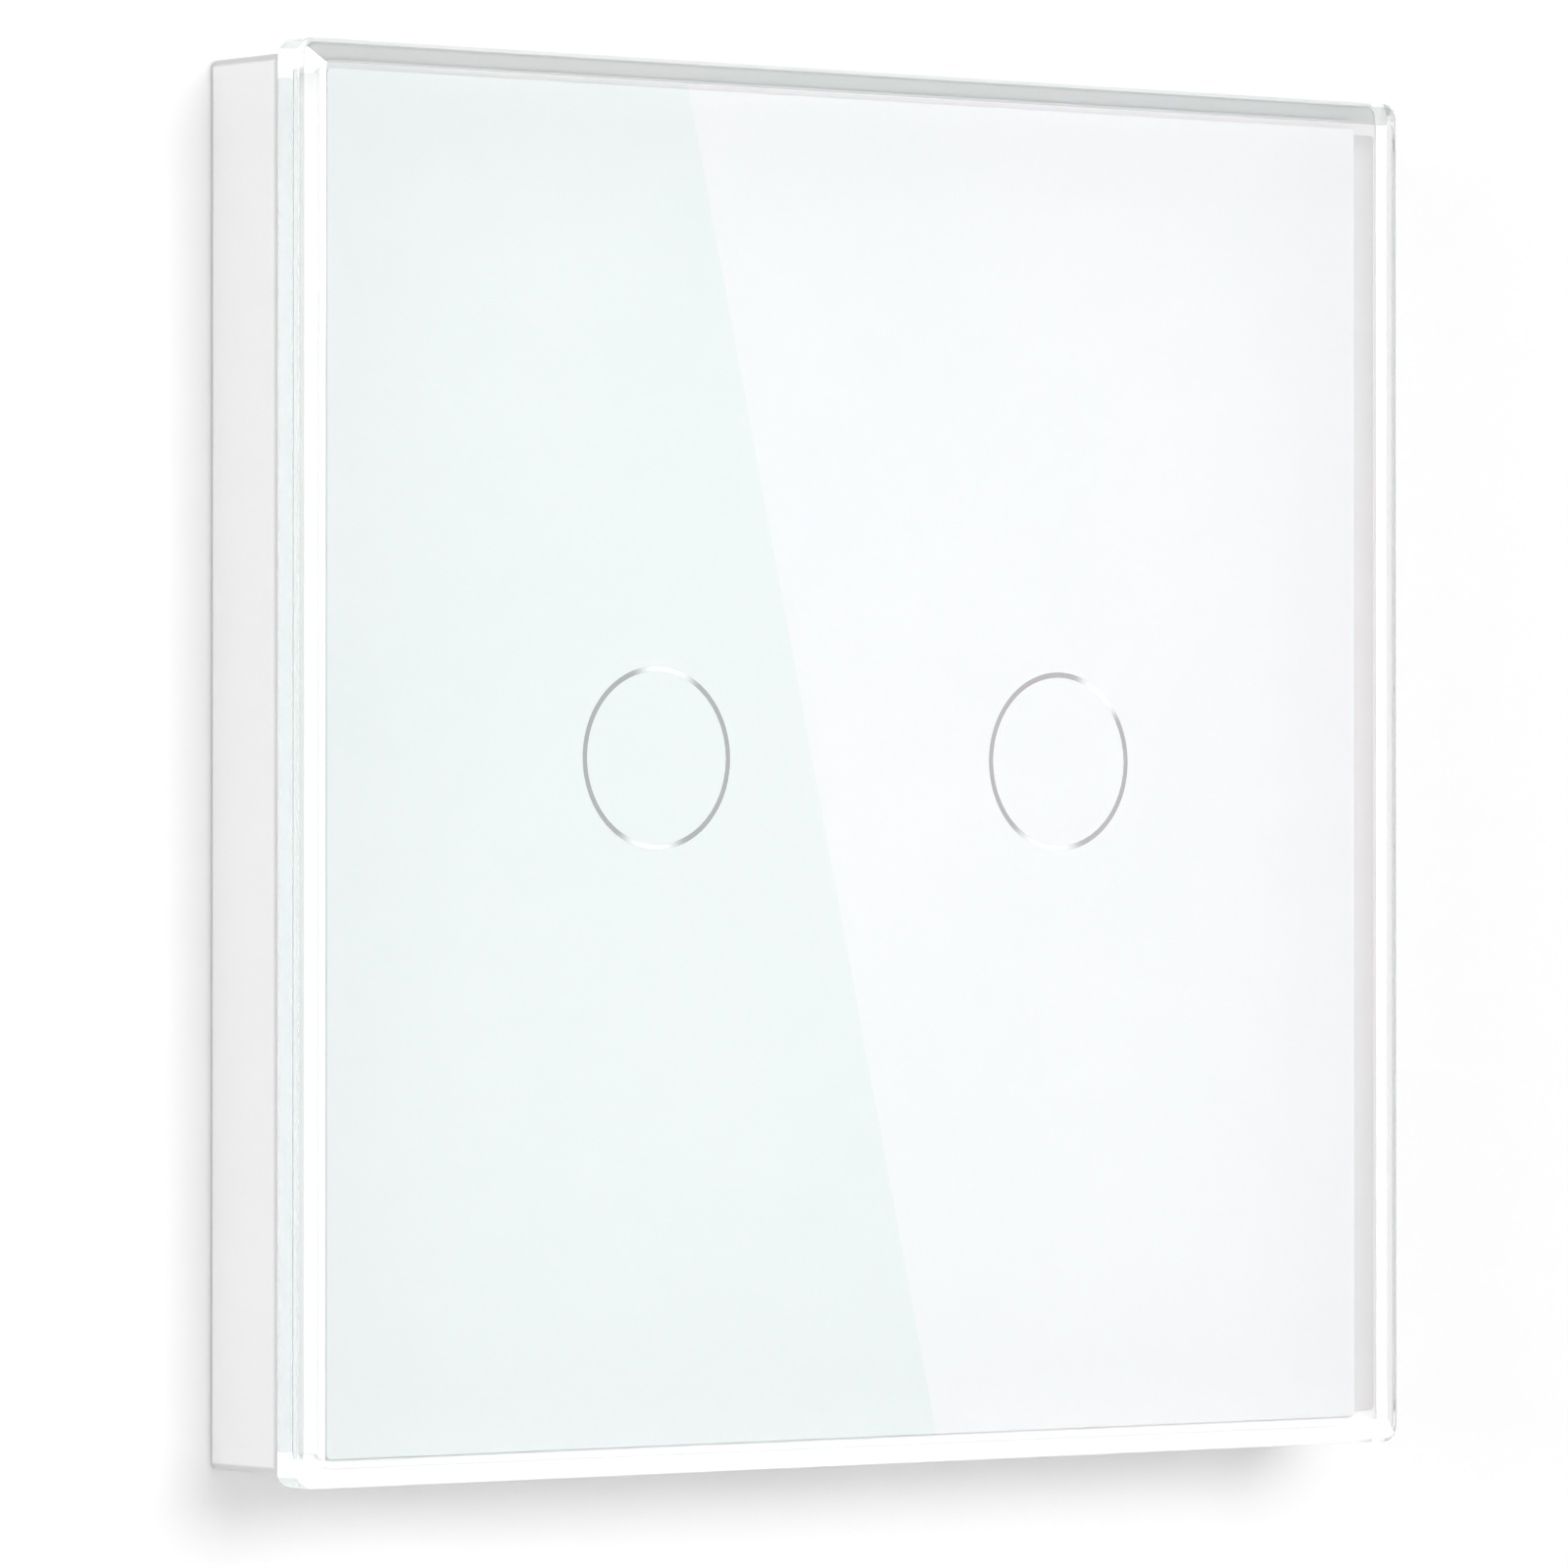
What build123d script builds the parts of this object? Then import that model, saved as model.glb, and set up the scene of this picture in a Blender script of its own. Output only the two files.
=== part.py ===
from build123d import *
import os

# A two-gang touch light switch for a flush wall box, in millimetres.
# X runs to the right, Z runs up and the glass faces -Y. The wall is the plane Y = 0, and the
# origin lies midway between the two fixing slots.

# Glass panel: a flat sheet with a ground bevel round its front
panel_width = 86.0
panel_height = 86.0
glass_thickness = 3.0
glass_corner_radius = 1.0
bevel_width = 1.2
bevel_depth = 0.5
front_arris = 0.25
back_arris = 0.2
least_radius = 0.1

# White print and silver ring lines on the back of the glass
print_side_margin = 2.8
print_end_margin = 1.65
print_corner_radius = 0.3
print_thickness = 0.1
ring_spacing = 31.5
ring_height = 0.5
ring_outer_radius = 5.6
ring_line_width = 0.32
ring_thickness = 0.04

# Panel frame: the shell behind the glass that closes the gap to the wall and pulls off with it
frame_projection = 7.8
frame_inset = 0.7
frame_corner_radius = 0.5
skirt_wall = 1.5
flange_thickness = 1.6
window_clearance = 1.0
window_corner_radius = 2.0
adhesive_thickness = 0.2
adhesive_side_margin = 0.4
adhesive_end_margin = 1.3
adhesive_width = 8.0
peg_radius = 1.85
peg_clearance = 0.05
peg_side_margin = 5.0
peg_end_margin = 14.8
peg_tip_gap = 0.6
notch_width = 8.0
notch_depth = 1.2

# Steel bracket that the wall box screws hold
bracket_thickness = 1.0
bracket_clearance = 2.8
bracket_corner_radius = 3.0
bracket_seat = 1.4
fixing_spacing = 60.3
fixing_slot_width = 4.0
fixing_slot_length = 6.0
bracket_screw_clearance = 0.45

# Module cover: the tray in front of the bracket that holds the touch board
cover_gap = 0.2
cover_front_wall = 1.0
cover_side_wall = 1.5
cover_corner_radius = 2.0
cover_edge_chamfer = 0.4
cover_flange_thickness = 1.5
cover_flange_clearance = 1.2
socket_wall = 0.95
socket_gap = 0.3
fixing_access_radius = 4.5
touch_post_height = 2.3
touch_post_radius = 2.2
screw_boss_radius = 3.0
screw_boss_overlap = 0.5

# Touch board with its sensors, lamps and chip
touch_board_thickness = 1.2
touch_board_clearance = 0.6
touch_screw_side_margin = 3.4
touch_screw_end_margin = 3.5
touch_screw_radius = 1.0
touch_screw_head_radius = 1.8
touch_screw_head_height = 1.2
touch_screw_grip = 1.8
electrode_radius = 6.2
electrode_bore_radius = 2.6
electrode_wall_gap = 2.05
guide_radius = 1.9
guide_clearance = 0.1
guide_collar_radius = 2.35
guide_collar_height = 0.6
led_length = 2.0
led_width = 1.2
led_height = 0.9
chip_length = 10.0
chip_width = 4.0
chip_height = 1.4
chip_below_centre = 12.0
chip_lead_count = 8
chip_lead_pitch = 1.27
chip_lead_width = 0.45
chip_lead_reach = 1.0
chip_lead_thickness = 0.3

# Plug-in link between the two boards
header_pin_count = 6
header_pitch = 2.0
header_width = 2.5
header_strip_height = 2.0
header_above_centre = 9.0
header_pin_side = 0.5
header_pin_clearance = 0.05
header_pin_insertion = 1.6
socket_strip_height = 2.2
socket_strip_floor = 0.4

# Rear housing: the box behind the wall plane
housing_inner_height = 46.8
housing_side_space = 3.4
housing_wall = 1.6
housing_corner_radius = 2.5
housing_edge_chamfer = 0.8
ear_screw_side = 18.0
ear_screw_offset = 3.0
ear_radius = 3.5
ear_thickness = 3.0
board_post_radius = 2.0
board_post_margin = 2.9
housing_screw_radius = 1.25
housing_screw_head_radius = 2.4
housing_screw_head_height = 1.8
housing_screw_bite = 4.0
screw_clearance = 0.05
screw_slot_width = 0.6
screw_slot_depth = 0.8

# Insulating sheet and power board
sheet_thickness = 0.4
sheet_clearance = 0.4
sheet_cutout_margin = 1.0
power_board_gap = 3.0
power_board_thickness = 1.6
power_board_clearance = 0.3
power_screw_radius = 0.9
power_screw_head_radius = 1.7
power_screw_head_height = 1.2
power_screw_bite = 6.0

# Relays, each with its coil, yoke, armature and contact in a case
relay_width = 10.4
relay_length = 19.0
relay_height = 15.0
relay_spacing = 12.0
relay_edge_margin = 2.4
relay_headroom = 4.8
relay_case_wall = 0.7
relay_base_thickness = 1.6
relay_base_clearance = 0.1
coil_radius = 3.6
coil_height = 7.8
coil_off_centre = 1.0
core_radius = 1.6
core_stand = 0.6
yoke_thickness = 1.0
yoke_width = 7.0
yoke_coil_gap = 0.4
yoke_knife_height = 0.3
armature_gap = 0.5
armature_thickness = 0.8
armature_width = 6.4
armature_heel = 0.7
armature_tip_margin = 1.4
contact_radius = 0.8
contact_height = 0.3
contact_break = 0.95
contact_tip_distance = 0.8
contact_blade_thickness = 0.6
contact_blade_width = 3.0
contact_foot_thickness = 0.4

# Other parts on the power board
component_gap = 1.4
capacitor_radius = 4.0
capacitor_height = 12.0
capacitor_bead = 0.5
fuse_radius = 2.9
fuse_height = 8.0
film_width = 6.0
film_length = 13.0
film_height = 12.0
varistor_radius = 4.2
varistor_thickness = 3.4
varistor_stand = 0.8
bridge_length = 4.8
bridge_width = 4.0
bridge_height = 2.6
transformer_length = 13.0
transformer_gap = 4.1
transformer_height = 9.0
transformer_leg = 2.4
transformer_coil_margin = 0.3

# Screw terminals with rising cages
terminal_count = 4
terminal_pitch = 10.0
terminal_end_wall = 0.5
terminal_face_wall = 1.0
terminal_web = 1.5
terminal_back_wall = 1.0
terminal_screw_radius = 1.5
terminal_thread_clearance = 0.08
terminal_head_radius = 2.6
terminal_head_clearance = 0.4
terminal_head_height = 2.0
terminal_head_sink = 0.5
terminal_head_gap = 0.1
terminal_tip_gap = 0.1
driver_slot_width = 0.8
driver_slot_depth = 1.0
cage_width = 6.0
cage_height = 7.0
cage_length = 5.6
cage_wall = 1.0
cage_clearance = 0.2
cage_travel = 2.0
bar_width = 3.6
bar_thickness = 1.0
bar_leg_thickness = 1.0
wire_entry_radius = 1.8
wire_guide_side_wall = 1.2
wire_guide_edge_wall = 1.6
wire_guide_clearance = 0.05

# One overrun lets every cut pass cleanly through its face
cut_overrun = 1.0

# Levels along Y, from the glass to the back of the housing
glass_back = -frame_projection
glass_front = glass_back - glass_thickness
print_back = glass_back + print_thickness
flange_front = print_back + adhesive_thickness
flange_back = flange_front + flange_thickness
bracket_front = -bracket_thickness
cover_front = print_back + cover_gap
cover_inside = cover_front + cover_front_wall
cover_flange_front = bracket_front - cover_flange_thickness
touch_board_front = cover_inside + touch_post_height
touch_board_back = touch_board_front + touch_board_thickness
power_board_front = power_board_gap
power_board_back = power_board_front + power_board_thickness
housing_floor = power_board_back + relay_height + relay_headroom
housing_back = housing_floor + housing_wall
socket_strip_front = power_board_front - socket_strip_height

# Half sizes across the wall
skirt_outer_half_width = panel_width / 2 - frame_inset
skirt_outer_half_height = panel_height / 2 - frame_inset
skirt_inner_half_width = skirt_outer_half_width - skirt_wall
skirt_inner_half_height = skirt_outer_half_height - skirt_wall
terminal_block_width = terminal_count * terminal_pitch + 2 * terminal_end_wall
housing_inner_half_width = terminal_block_width / 2 + housing_side_space - terminal_end_wall
housing_inner_half_height = housing_inner_height / 2
housing_half_width = housing_inner_half_width + housing_wall
housing_half_height = housing_inner_half_height + housing_wall
ear_screw_height = housing_half_height + ear_screw_offset
tray_inner_half_width = ring_spacing / 2 + electrode_radius + electrode_wall_gap
tray_inner_half_height = ear_screw_height + screw_boss_radius - screw_boss_overlap
tray_half_width = tray_inner_half_width + cover_side_wall
tray_half_height = tray_inner_half_height + cover_side_wall
window_half_width = tray_half_width + window_clearance
window_half_height = tray_half_height + window_clearance
touch_board_half_width = tray_inner_half_width - touch_board_clearance
touch_board_half_height = ear_screw_height - screw_boss_radius - touch_board_clearance
power_board_half_width = housing_inner_half_width - power_board_clearance
power_board_half_height = housing_inner_half_height - power_board_clearance

# Places that several pieces share, as (x, z) pairs
ring_places = [(side * ring_spacing / 2, ring_height) for side in (-1, 1)]
fixing_places = [(side * fixing_spacing / 2, 0) for side in (-1, 1)]
peg_x = skirt_inner_half_width - peg_side_margin
peg_z = skirt_inner_half_height - peg_end_margin
peg_places = [(sx * peg_x, sz * peg_z) for sx in (-1, 1) for sz in (-1, 1)]
ear_places = [(sx * ear_screw_side, sz * ear_screw_height) for sx in (-1, 1) for sz in (-1, 1)]
touch_screw_x = touch_board_half_width - touch_screw_side_margin
touch_screw_z = touch_board_half_height - touch_screw_end_margin
touch_screw_places = [(sx * touch_screw_x, sz * touch_screw_z) for sx in (-1, 1) for sz in (-1, 1)]
post_x = housing_inner_half_width - board_post_margin
post_z = housing_inner_half_height - board_post_margin
post_places = [(side * post_x, post_z) for side in (-1, 1)]
terminal_places = [(i - (terminal_count - 1) / 2) * terminal_pitch for i in range(terminal_count)]
header_places = [(i - (header_pin_count - 1) / 2) * header_pitch for i in range(header_pin_count)]

# Terminal levels, worked from the housing floor inwards
head_top = housing_floor - terminal_head_sink
head_seat = head_top - terminal_head_height
recess_floor = head_seat - terminal_head_gap
cage_room_top = recess_floor - terminal_web
cage_top = cage_room_top - cage_clearance - cage_travel
cage_bottom = cage_top - cage_height
bar_top = cage_top - cage_wall - cage_clearance
bar_bottom = bar_top - bar_thickness
screw_tip = bar_top + terminal_tip_gap
wire_level = (cage_bottom + cage_wall + bar_bottom) / 2
block_face = -housing_inner_half_height
cage_room_face = block_face + terminal_face_wall
cage_room_rear = cage_room_face + cage_length + 2 * cage_clearance
cage_centre = (cage_room_face + cage_room_rear) / 2
block_rear = cage_room_rear + bar_leg_thickness + terminal_back_wall
wire_guide_half_width = terminal_places[-1] + wire_entry_radius + wire_guide_side_wall
wire_guide_half_length = wire_entry_radius + wire_guide_edge_wall


def span(x, y, z):
    # A box between two corners, given as a low and a high value on each axis
    centre = Pos((x[0] + x[1]) / 2, (y[0] + y[1]) / 2, (z[0] + z[1]) / 2)
    return centre * Box(x[1] - x[0], y[1] - y[0], z[1] - z[0])


def about(centre, half):
    return (centre - half, centre + half)


def facing(y, x=0, z=0):
    # A drawing plane that looks along +Y
    return Plane(origin=(x, y, z), x_dir=(1, 0, 0), z_dir=(0, 1, 0))


def plate(half_width, half_height, radius, y):
    outline = RectangleRounded(2 * half_width, 2 * half_height, radius)
    return extrude(facing(y[0]) * outline, y[1] - y[0])


def rod(radius, y, place):
    return extrude(facing(y[0], place[0], place[1]) * Circle(radius), y[1] - y[0])


def tube(outer, inner, y, place):
    return rod(outer, y, place) - rod(inner, (y[0] - cut_overrun, y[1] + cut_overrun), place)


def fused(shape, extras):
    for extra in extras:
        shape = shape + extra
    return shape


def cut(shape, tools):
    for tool in tools:
        shape = shape - tool
    return shape


def through(y):
    return (y[0] - cut_overrun, y[1] + cut_overrun)


def glass_panel():
    # Rounded squares at each change of the edge profile, from the back to the front face
    profile = [
        (back_arris, glass_back),
        (0, glass_back - back_arris),
        (0, glass_front + bevel_depth + front_arris),
        (front_arris, glass_front + bevel_depth),
        (front_arris + bevel_width, glass_front),
    ]
    sections = []
    for inset, level in profile:
        radius = max(glass_corner_radius - inset, least_radius)
        outline = RectangleRounded(panel_width - 2 * inset, panel_height - 2 * inset, radius)
        sections.append(facing(level) * outline)
    return loft(sections, ruled=True)


def ring_line(place):
    level = (glass_back, glass_back + ring_thickness)
    return tube(ring_outer_radius, ring_outer_radius - ring_line_width, level, place)


def ring_marks():
    return [ring_line(place) for place in ring_places]


def panel_print():
    half_width = panel_width / 2 - print_side_margin
    half_height = panel_height / 2 - print_end_margin
    sheet = plate(half_width, half_height, print_corner_radius, (glass_back, print_back))
    return cut(sheet, ring_marks())


def panel_adhesive():
    # A band of tape just inside the edge of the frame, which shows as a pale rim beside the print
    level = (print_back, flange_front)
    half_width = skirt_outer_half_width - adhesive_side_margin
    half_height = skirt_outer_half_height - adhesive_end_margin
    outer = plate(half_width, half_height, print_corner_radius, level)
    inner = plate(half_width - adhesive_width, half_height - adhesive_width, print_corner_radius,
                  through(level))
    return outer - inner


def panel_frame():
    shell = plate(skirt_outer_half_width, skirt_outer_half_height, frame_corner_radius,
                  (flange_front, 0))
    inside = plate(skirt_inner_half_width, skirt_inner_half_height, frame_corner_radius,
                   (flange_back, cut_overrun))
    window = plate(window_half_width, window_half_height, window_corner_radius,
                   through((flange_front, flange_back)))
    notch = span(about(0, notch_width / 2), (-notch_depth, cut_overrun),
                 (-skirt_outer_half_height - cut_overrun, -skirt_inner_half_height + cut_overrun))
    pegs = [rod(peg_radius, (flange_back, bracket_front - peg_tip_gap), place)
            for place in peg_places]
    return fused(cut(shell, [inside, window, notch]), pegs)


def mounting_bracket():
    level = (bracket_front, 0)
    sheet = plate(skirt_inner_half_width - bracket_clearance,
                  skirt_inner_half_height - bracket_clearance, bracket_corner_radius, level)
    opening = plate(housing_inner_half_width - bracket_seat,
                    housing_inner_half_height - bracket_seat, window_corner_radius, through(level))
    slot = SlotOverall(fixing_slot_length, fixing_slot_width)
    slots = [extrude(facing(bracket_front - cut_overrun, *place) * slot,
                     bracket_thickness + 2 * cut_overrun) for place in fixing_places]
    holes = [rod(housing_screw_radius + bracket_screw_clearance, through(level), place)
             for place in ear_places]
    return cut(sheet, [opening] + slots + holes)


def module_cover():
    tray = plate(tray_half_width, tray_half_height, cover_corner_radius,
                 (cover_front, bracket_front))
    tray = chamfer(tray.faces().sort_by(Axis.Y)[0].edges(), cover_edge_chamfer)
    flange = plate(skirt_inner_half_width - cover_flange_clearance,
                   skirt_inner_half_height - cover_flange_clearance, cover_corner_radius,
                   (cover_flange_front, bracket_front))
    inside = plate(tray_inner_half_width, tray_inner_half_height, cover_corner_radius,
                   (cover_inside, bracket_front + cut_overrun))
    sockets = [rod(peg_radius + peg_clearance + socket_wall,
                   (flange_back + socket_gap, bracket_front), place) for place in peg_places]
    shell = cut(fused(tray + flange, sockets), [inside])
    posts = [rod(touch_post_radius, (cover_inside - cover_front_wall / 2, touch_board_front), place)
             for place in touch_screw_places]
    bosses = [rod(screw_boss_radius, (cover_inside - cover_front_wall / 2, bracket_front), place)
              for place in ear_places]
    cuts = [rod(peg_radius + peg_clearance, through((flange_back, bracket_front)), place)
            for place in peg_places]
    cuts += [rod(fixing_access_radius, through((cover_flange_front, bracket_front)), place)
             for place in fixing_places]
    cuts += [rod(guide_radius + guide_clearance, through((cover_front, cover_inside)), place)
             for place in ring_places]
    cuts += [rod(touch_screw_radius + screw_clearance,
                 (touch_board_front - touch_screw_grip, touch_board_front + cut_overrun), place)
             for place in touch_screw_places]
    cuts += [rod(housing_screw_radius + screw_clearance,
                 (bracket_front - housing_screw_bite, bracket_front + cut_overrun), place)
             for place in ear_places]
    return cut(fused(shell, posts + bosses), cuts)


def touch_board():
    level = (touch_board_front, touch_board_back)
    sheet = plate(touch_board_half_width, touch_board_half_height, least_radius, level)
    holes = [rod(touch_screw_radius + screw_clearance, through(level), place)
             for place in touch_screw_places]
    return cut(sheet, holes)


def slotted_screw(radius, head_radius, seat, head_height, tip, place, slot_width, slot_depth):
    # A screw along Y whose head stands behind its seat, with a straight slot across the head
    body = rod(radius, (tip, seat), place) + rod(head_radius, (seat, seat + head_height), place)
    slot = span(about(place[0], head_radius + cut_overrun),
                (seat + head_height - slot_depth, seat + head_height + cut_overrun),
                about(place[1], slot_width / 2))
    return body - slot


def touch_board_screws():
    tip = touch_board_front - touch_screw_grip + screw_clearance
    return [slotted_screw(touch_screw_radius, touch_screw_head_radius, touch_board_back,
                          touch_screw_head_height, tip, place, screw_slot_width,
                          touch_screw_head_height / 2) for place in touch_screw_places]


def touch_electrodes():
    level = (cover_inside, touch_board_front)
    return [tube(electrode_radius, electrode_bore_radius, level, place) for place in ring_places]


def light_guides():
    led_top = touch_board_front - led_height
    return [rod(guide_radius, (cover_front, led_top), place)
            + rod(guide_collar_radius, (cover_inside, cover_inside + guide_collar_height), place)
            for place in ring_places]


def status_leds():
    return [span(about(x, led_length / 2), (touch_board_front - led_height, touch_board_front),
                 about(z, led_width / 2)) for x, z in ring_places]


def touch_chip():
    level = (touch_board_back, touch_board_back + chip_height)
    chip_z = -chip_below_centre
    body = span(about(0, chip_length / 2), (level[0] + chip_lead_thickness, level[1]),
                about(chip_z, chip_width / 2))
    leads = []
    for i in range(chip_lead_count):
        x = (i - (chip_lead_count - 1) / 2) * chip_lead_pitch
        leads.append(span(about(x, chip_lead_width / 2),
                          (level[0], level[0] + 2 * chip_lead_thickness),
                          about(chip_z, chip_width / 2 + chip_lead_reach)))
    return fused(body, leads)


def header_row(side, y):
    return [span(about(x, side / 2), y, about(header_above_centre, side / 2))
            for x in header_places]


def header_strip(y):
    return span(about(0, header_pin_count * header_pitch / 2), y,
                about(header_above_centre, header_width / 2))


def pin_header():
    strip = header_strip((touch_board_back, touch_board_back + header_strip_height))
    pins = header_row(header_pin_side, (touch_board_back, socket_strip_front + header_pin_insertion))
    return fused(strip, pins)


def pin_socket():
    strip = header_strip((socket_strip_front, power_board_front))
    bore = header_pin_side + 2 * header_pin_clearance
    return cut(strip, header_row(bore, (socket_strip_front - cut_overrun,
                                        power_board_front - socket_strip_floor)))


def rear_housing():
    shell = plate(housing_half_width, housing_half_height, housing_corner_radius,
                  (0, housing_back))
    shell = chamfer(shell.faces().sort_by(Axis.Y)[-1].edges(), housing_edge_chamfer)
    inside = plate(housing_inner_half_width, housing_inner_half_height,
                   housing_corner_radius - housing_wall, (-cut_overrun, housing_floor))
    ears = []
    for x, z in ear_places:
        root = z - (1 if z > 0 else -1) * (ear_screw_offset + housing_wall / 2)
        ears.append(rod(ear_radius, (0, ear_thickness), (x, z)))
        ears.append(span(about(x, ear_radius), (0, ear_thickness), (min(root, z), max(root, z))))
    posts = [rod(board_post_radius, (power_board_back, housing_back - housing_wall / 2), place)
             for place in post_places]
    shell = fused(cut(fused(shell, ears), [inside]), posts)
    cuts = [rod(housing_screw_radius + screw_clearance, through((0, ear_thickness)), place)
            for place in ear_places]
    cuts += [rod(power_screw_radius + screw_clearance,
                 (power_board_back - cut_overrun, power_board_back + power_screw_bite), place)
             for place in post_places]
    cuts += [rod(terminal_head_radius + terminal_head_clearance,
                 through((housing_floor, housing_back)), (x, cage_centre))
             for x in terminal_places]
    return cut(shell, cuts + [wire_guide_block(wire_guide_clearance, cut_overrun)])


def wire_guide_block(clearance, overrun):
    # The guide's outline, grown by a clearance and run out below the housing to cut its slot
    return span(about(0, wire_guide_half_width + clearance),
                about(wire_level, wire_guide_half_length + clearance),
                (-housing_half_height - overrun, cage_room_face))


def wire_hole(x):
    # The round way in for one wire, from below the housing into the cage
    start = -housing_half_height - cut_overrun
    drawing = Plane(origin=(x, wire_level, start), x_dir=(1, 0, 0), z_dir=(0, 0, 1))
    return extrude(drawing * Circle(wire_entry_radius), cage_room_face + cut_overrun - start)


def wire_guide():
    # A strip through the bottoms of the housing and the terminal block, with a hole for each wire
    return cut(wire_guide_block(0, 0), [wire_hole(x) for x in terminal_places])


def housing_screws():
    tip = bracket_front - housing_screw_bite + screw_clearance
    return [slotted_screw(housing_screw_radius, housing_screw_head_radius, ear_thickness,
                          housing_screw_head_height, tip, place, screw_slot_width,
                          screw_slot_depth) for place in ear_places]


def insulating_sheet():
    level = (0, sheet_thickness)
    sheet = plate(housing_inner_half_width - sheet_clearance,
                  housing_inner_half_height - sheet_clearance, least_radius, level)
    cutout = span(about(0, header_pin_count * header_pitch / 2 + sheet_cutout_margin),
                  through(level),
                  about(header_above_centre, header_width / 2 + sheet_cutout_margin))
    return sheet - cutout


def power_board():
    level = (power_board_front, power_board_back)
    sheet = plate(power_board_half_width, power_board_half_height, least_radius, level)
    holes = [rod(power_screw_radius + screw_clearance, through(level), place)
             for place in post_places]
    return cut(sheet, holes)


def power_board_screws():
    # These point rearwards, so each head stands in front of the board
    screws = []
    for place in post_places:
        x, z = place
        head = (power_board_front - power_screw_head_height, power_board_front)
        tip = power_board_back + power_screw_bite - screw_clearance
        body = rod(power_screw_head_radius, head, place)
        body = body + rod(power_screw_radius, (power_board_front, tip), place)
        slot = span(about(x, power_screw_head_radius + cut_overrun),
                    (head[0] - cut_overrun, head[0] + power_screw_head_height / 2),
                    about(z, screw_slot_width / 2))
        screws.append(body - slot)
    return screws


def relay_pieces(x):
    # One relay standing on the power board, its coil axis along Y and its contact at the lower end
    centre = power_board_half_height - relay_edge_margin - relay_length / 2
    base_top = power_board_back + relay_base_thickness
    case_top = power_board_back + relay_height
    inner_half_width = relay_width / 2 - relay_case_wall
    inner_half_length = relay_length / 2 - relay_case_wall
    case = span(about(x, relay_width / 2), (power_board_back, case_top),
                about(centre, relay_length / 2))
    case = case - span(about(x, inner_half_width),
                       (power_board_back - cut_overrun, case_top - relay_case_wall),
                       about(centre, inner_half_length))
    base = span(about(x, inner_half_width - relay_base_clearance), (power_board_back, base_top),
                about(centre, inner_half_length - relay_base_clearance))
    coil_z = centre + coil_off_centre
    foot_top = base_top + yoke_thickness
    coil_top = foot_top + coil_height
    pole = coil_top + core_stand
    leg_z = coil_z + coil_radius + yoke_coil_gap
    leg = (leg_z, leg_z + yoke_thickness)
    coil = tube(coil_radius, core_radius, (foot_top, coil_top), (x, coil_z))
    yoke = span(about(x, yoke_width / 2), (base_top, foot_top), (coil_z - coil_radius, leg[1]))
    yoke = yoke + span(about(x, yoke_width / 2), (base_top, pole + yoke_knife_height), leg)
    yoke = yoke + rod(core_radius, (foot_top - yoke_thickness / 2, pole), (x, coil_z))
    plate_y = (pole + armature_gap, pole + armature_gap + armature_thickness)
    tip_z = centre - inner_half_length + armature_tip_margin
    contact_z = tip_z + contact_tip_distance
    pivot_z = (leg[0] + leg[1]) / 2
    button_y = (plate_y[0] - contact_height, plate_y[0] + armature_thickness / 2)
    arm = span(about(x, armature_width / 2), plate_y, (tip_z, pivot_z + armature_heel))
    arm = arm + rod(contact_radius, button_y, (x, contact_z))
    button_top = plate_y[0] - contact_height - contact_break
    foot_y = (button_top - contact_height - contact_foot_thickness, button_top - contact_height)
    wall_z = centre - inner_half_length + relay_base_clearance
    contact = span(about(x, contact_blade_width / 2), (base_top, foot_y[1]),
                   (wall_z, wall_z + contact_blade_thickness))
    contact = contact + span(about(x, contact_blade_width / 2), foot_y,
                             (wall_z, contact_z + contact_radius))
    contact = contact + rod(contact_radius, (foot_y[0] + contact_foot_thickness / 2, button_top),
                            (x, contact_z))
    print("armature pivot at X, Y, Z", x, round(plate_y[0], 3), round(pivot_z, 3))
    return {"case": case, "base": base, "coil": coil, "yoke": yoke, "armature": arm,
            "contact": contact}


def beside_relay(width):
    # Distance from the middle to a part of this width that stands outside the relays
    return relay_spacing / 2 + relay_width / 2 + component_gap + width / 2


def electrolytic_capacitor():
    place = (-beside_relay(2 * capacitor_radius), power_board_half_height
             - relay_edge_margin - relay_length / 2)
    can = rod(capacitor_radius, (power_board_back, power_board_back + capacitor_height), place)
    return chamfer(can.faces().sort_by(Axis.Y)[-1].edges(), capacitor_bead)


def fuse():
    place = (-beside_relay(2 * capacitor_radius), power_board_half_height - relay_edge_margin
             - relay_length / 2 - capacitor_radius - component_gap - fuse_radius)
    can = rod(fuse_radius, (power_board_back, power_board_back + fuse_height), place)
    return chamfer(can.faces().sort_by(Axis.Y)[-1].edges(), capacitor_bead)


def film_capacitor():
    x = beside_relay(film_width)
    z = power_board_half_height - relay_edge_margin - relay_length / 2
    return span(about(x, film_width / 2), (power_board_back, power_board_back + film_height),
                about(z, film_length / 2))


def varistor():
    # A disc on edge below the film capacitor, with its leg wires as one short foot
    x = beside_relay(film_width)
    z = (power_board_half_height - relay_edge_margin - relay_length / 2 - film_length / 2
         - component_gap - varistor_radius)
    y = power_board_back + varistor_stand + varistor_radius
    drawing = Plane(origin=(x - varistor_thickness / 2, y, z), x_dir=(0, 1, 0), z_dir=(1, 0, 0))
    disc = extrude(drawing * Circle(varistor_radius), varistor_thickness)
    foot = span(about(x, varistor_thickness / 4), (power_board_back, y),
                about(z, varistor_radius / 2))
    return disc + foot


def transformer_levels():
    # The core fills the room between the terminal block and the relays
    relay_low = power_board_half_height - relay_edge_margin - relay_length
    return (block_rear + component_gap, relay_low - transformer_gap)


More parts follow.
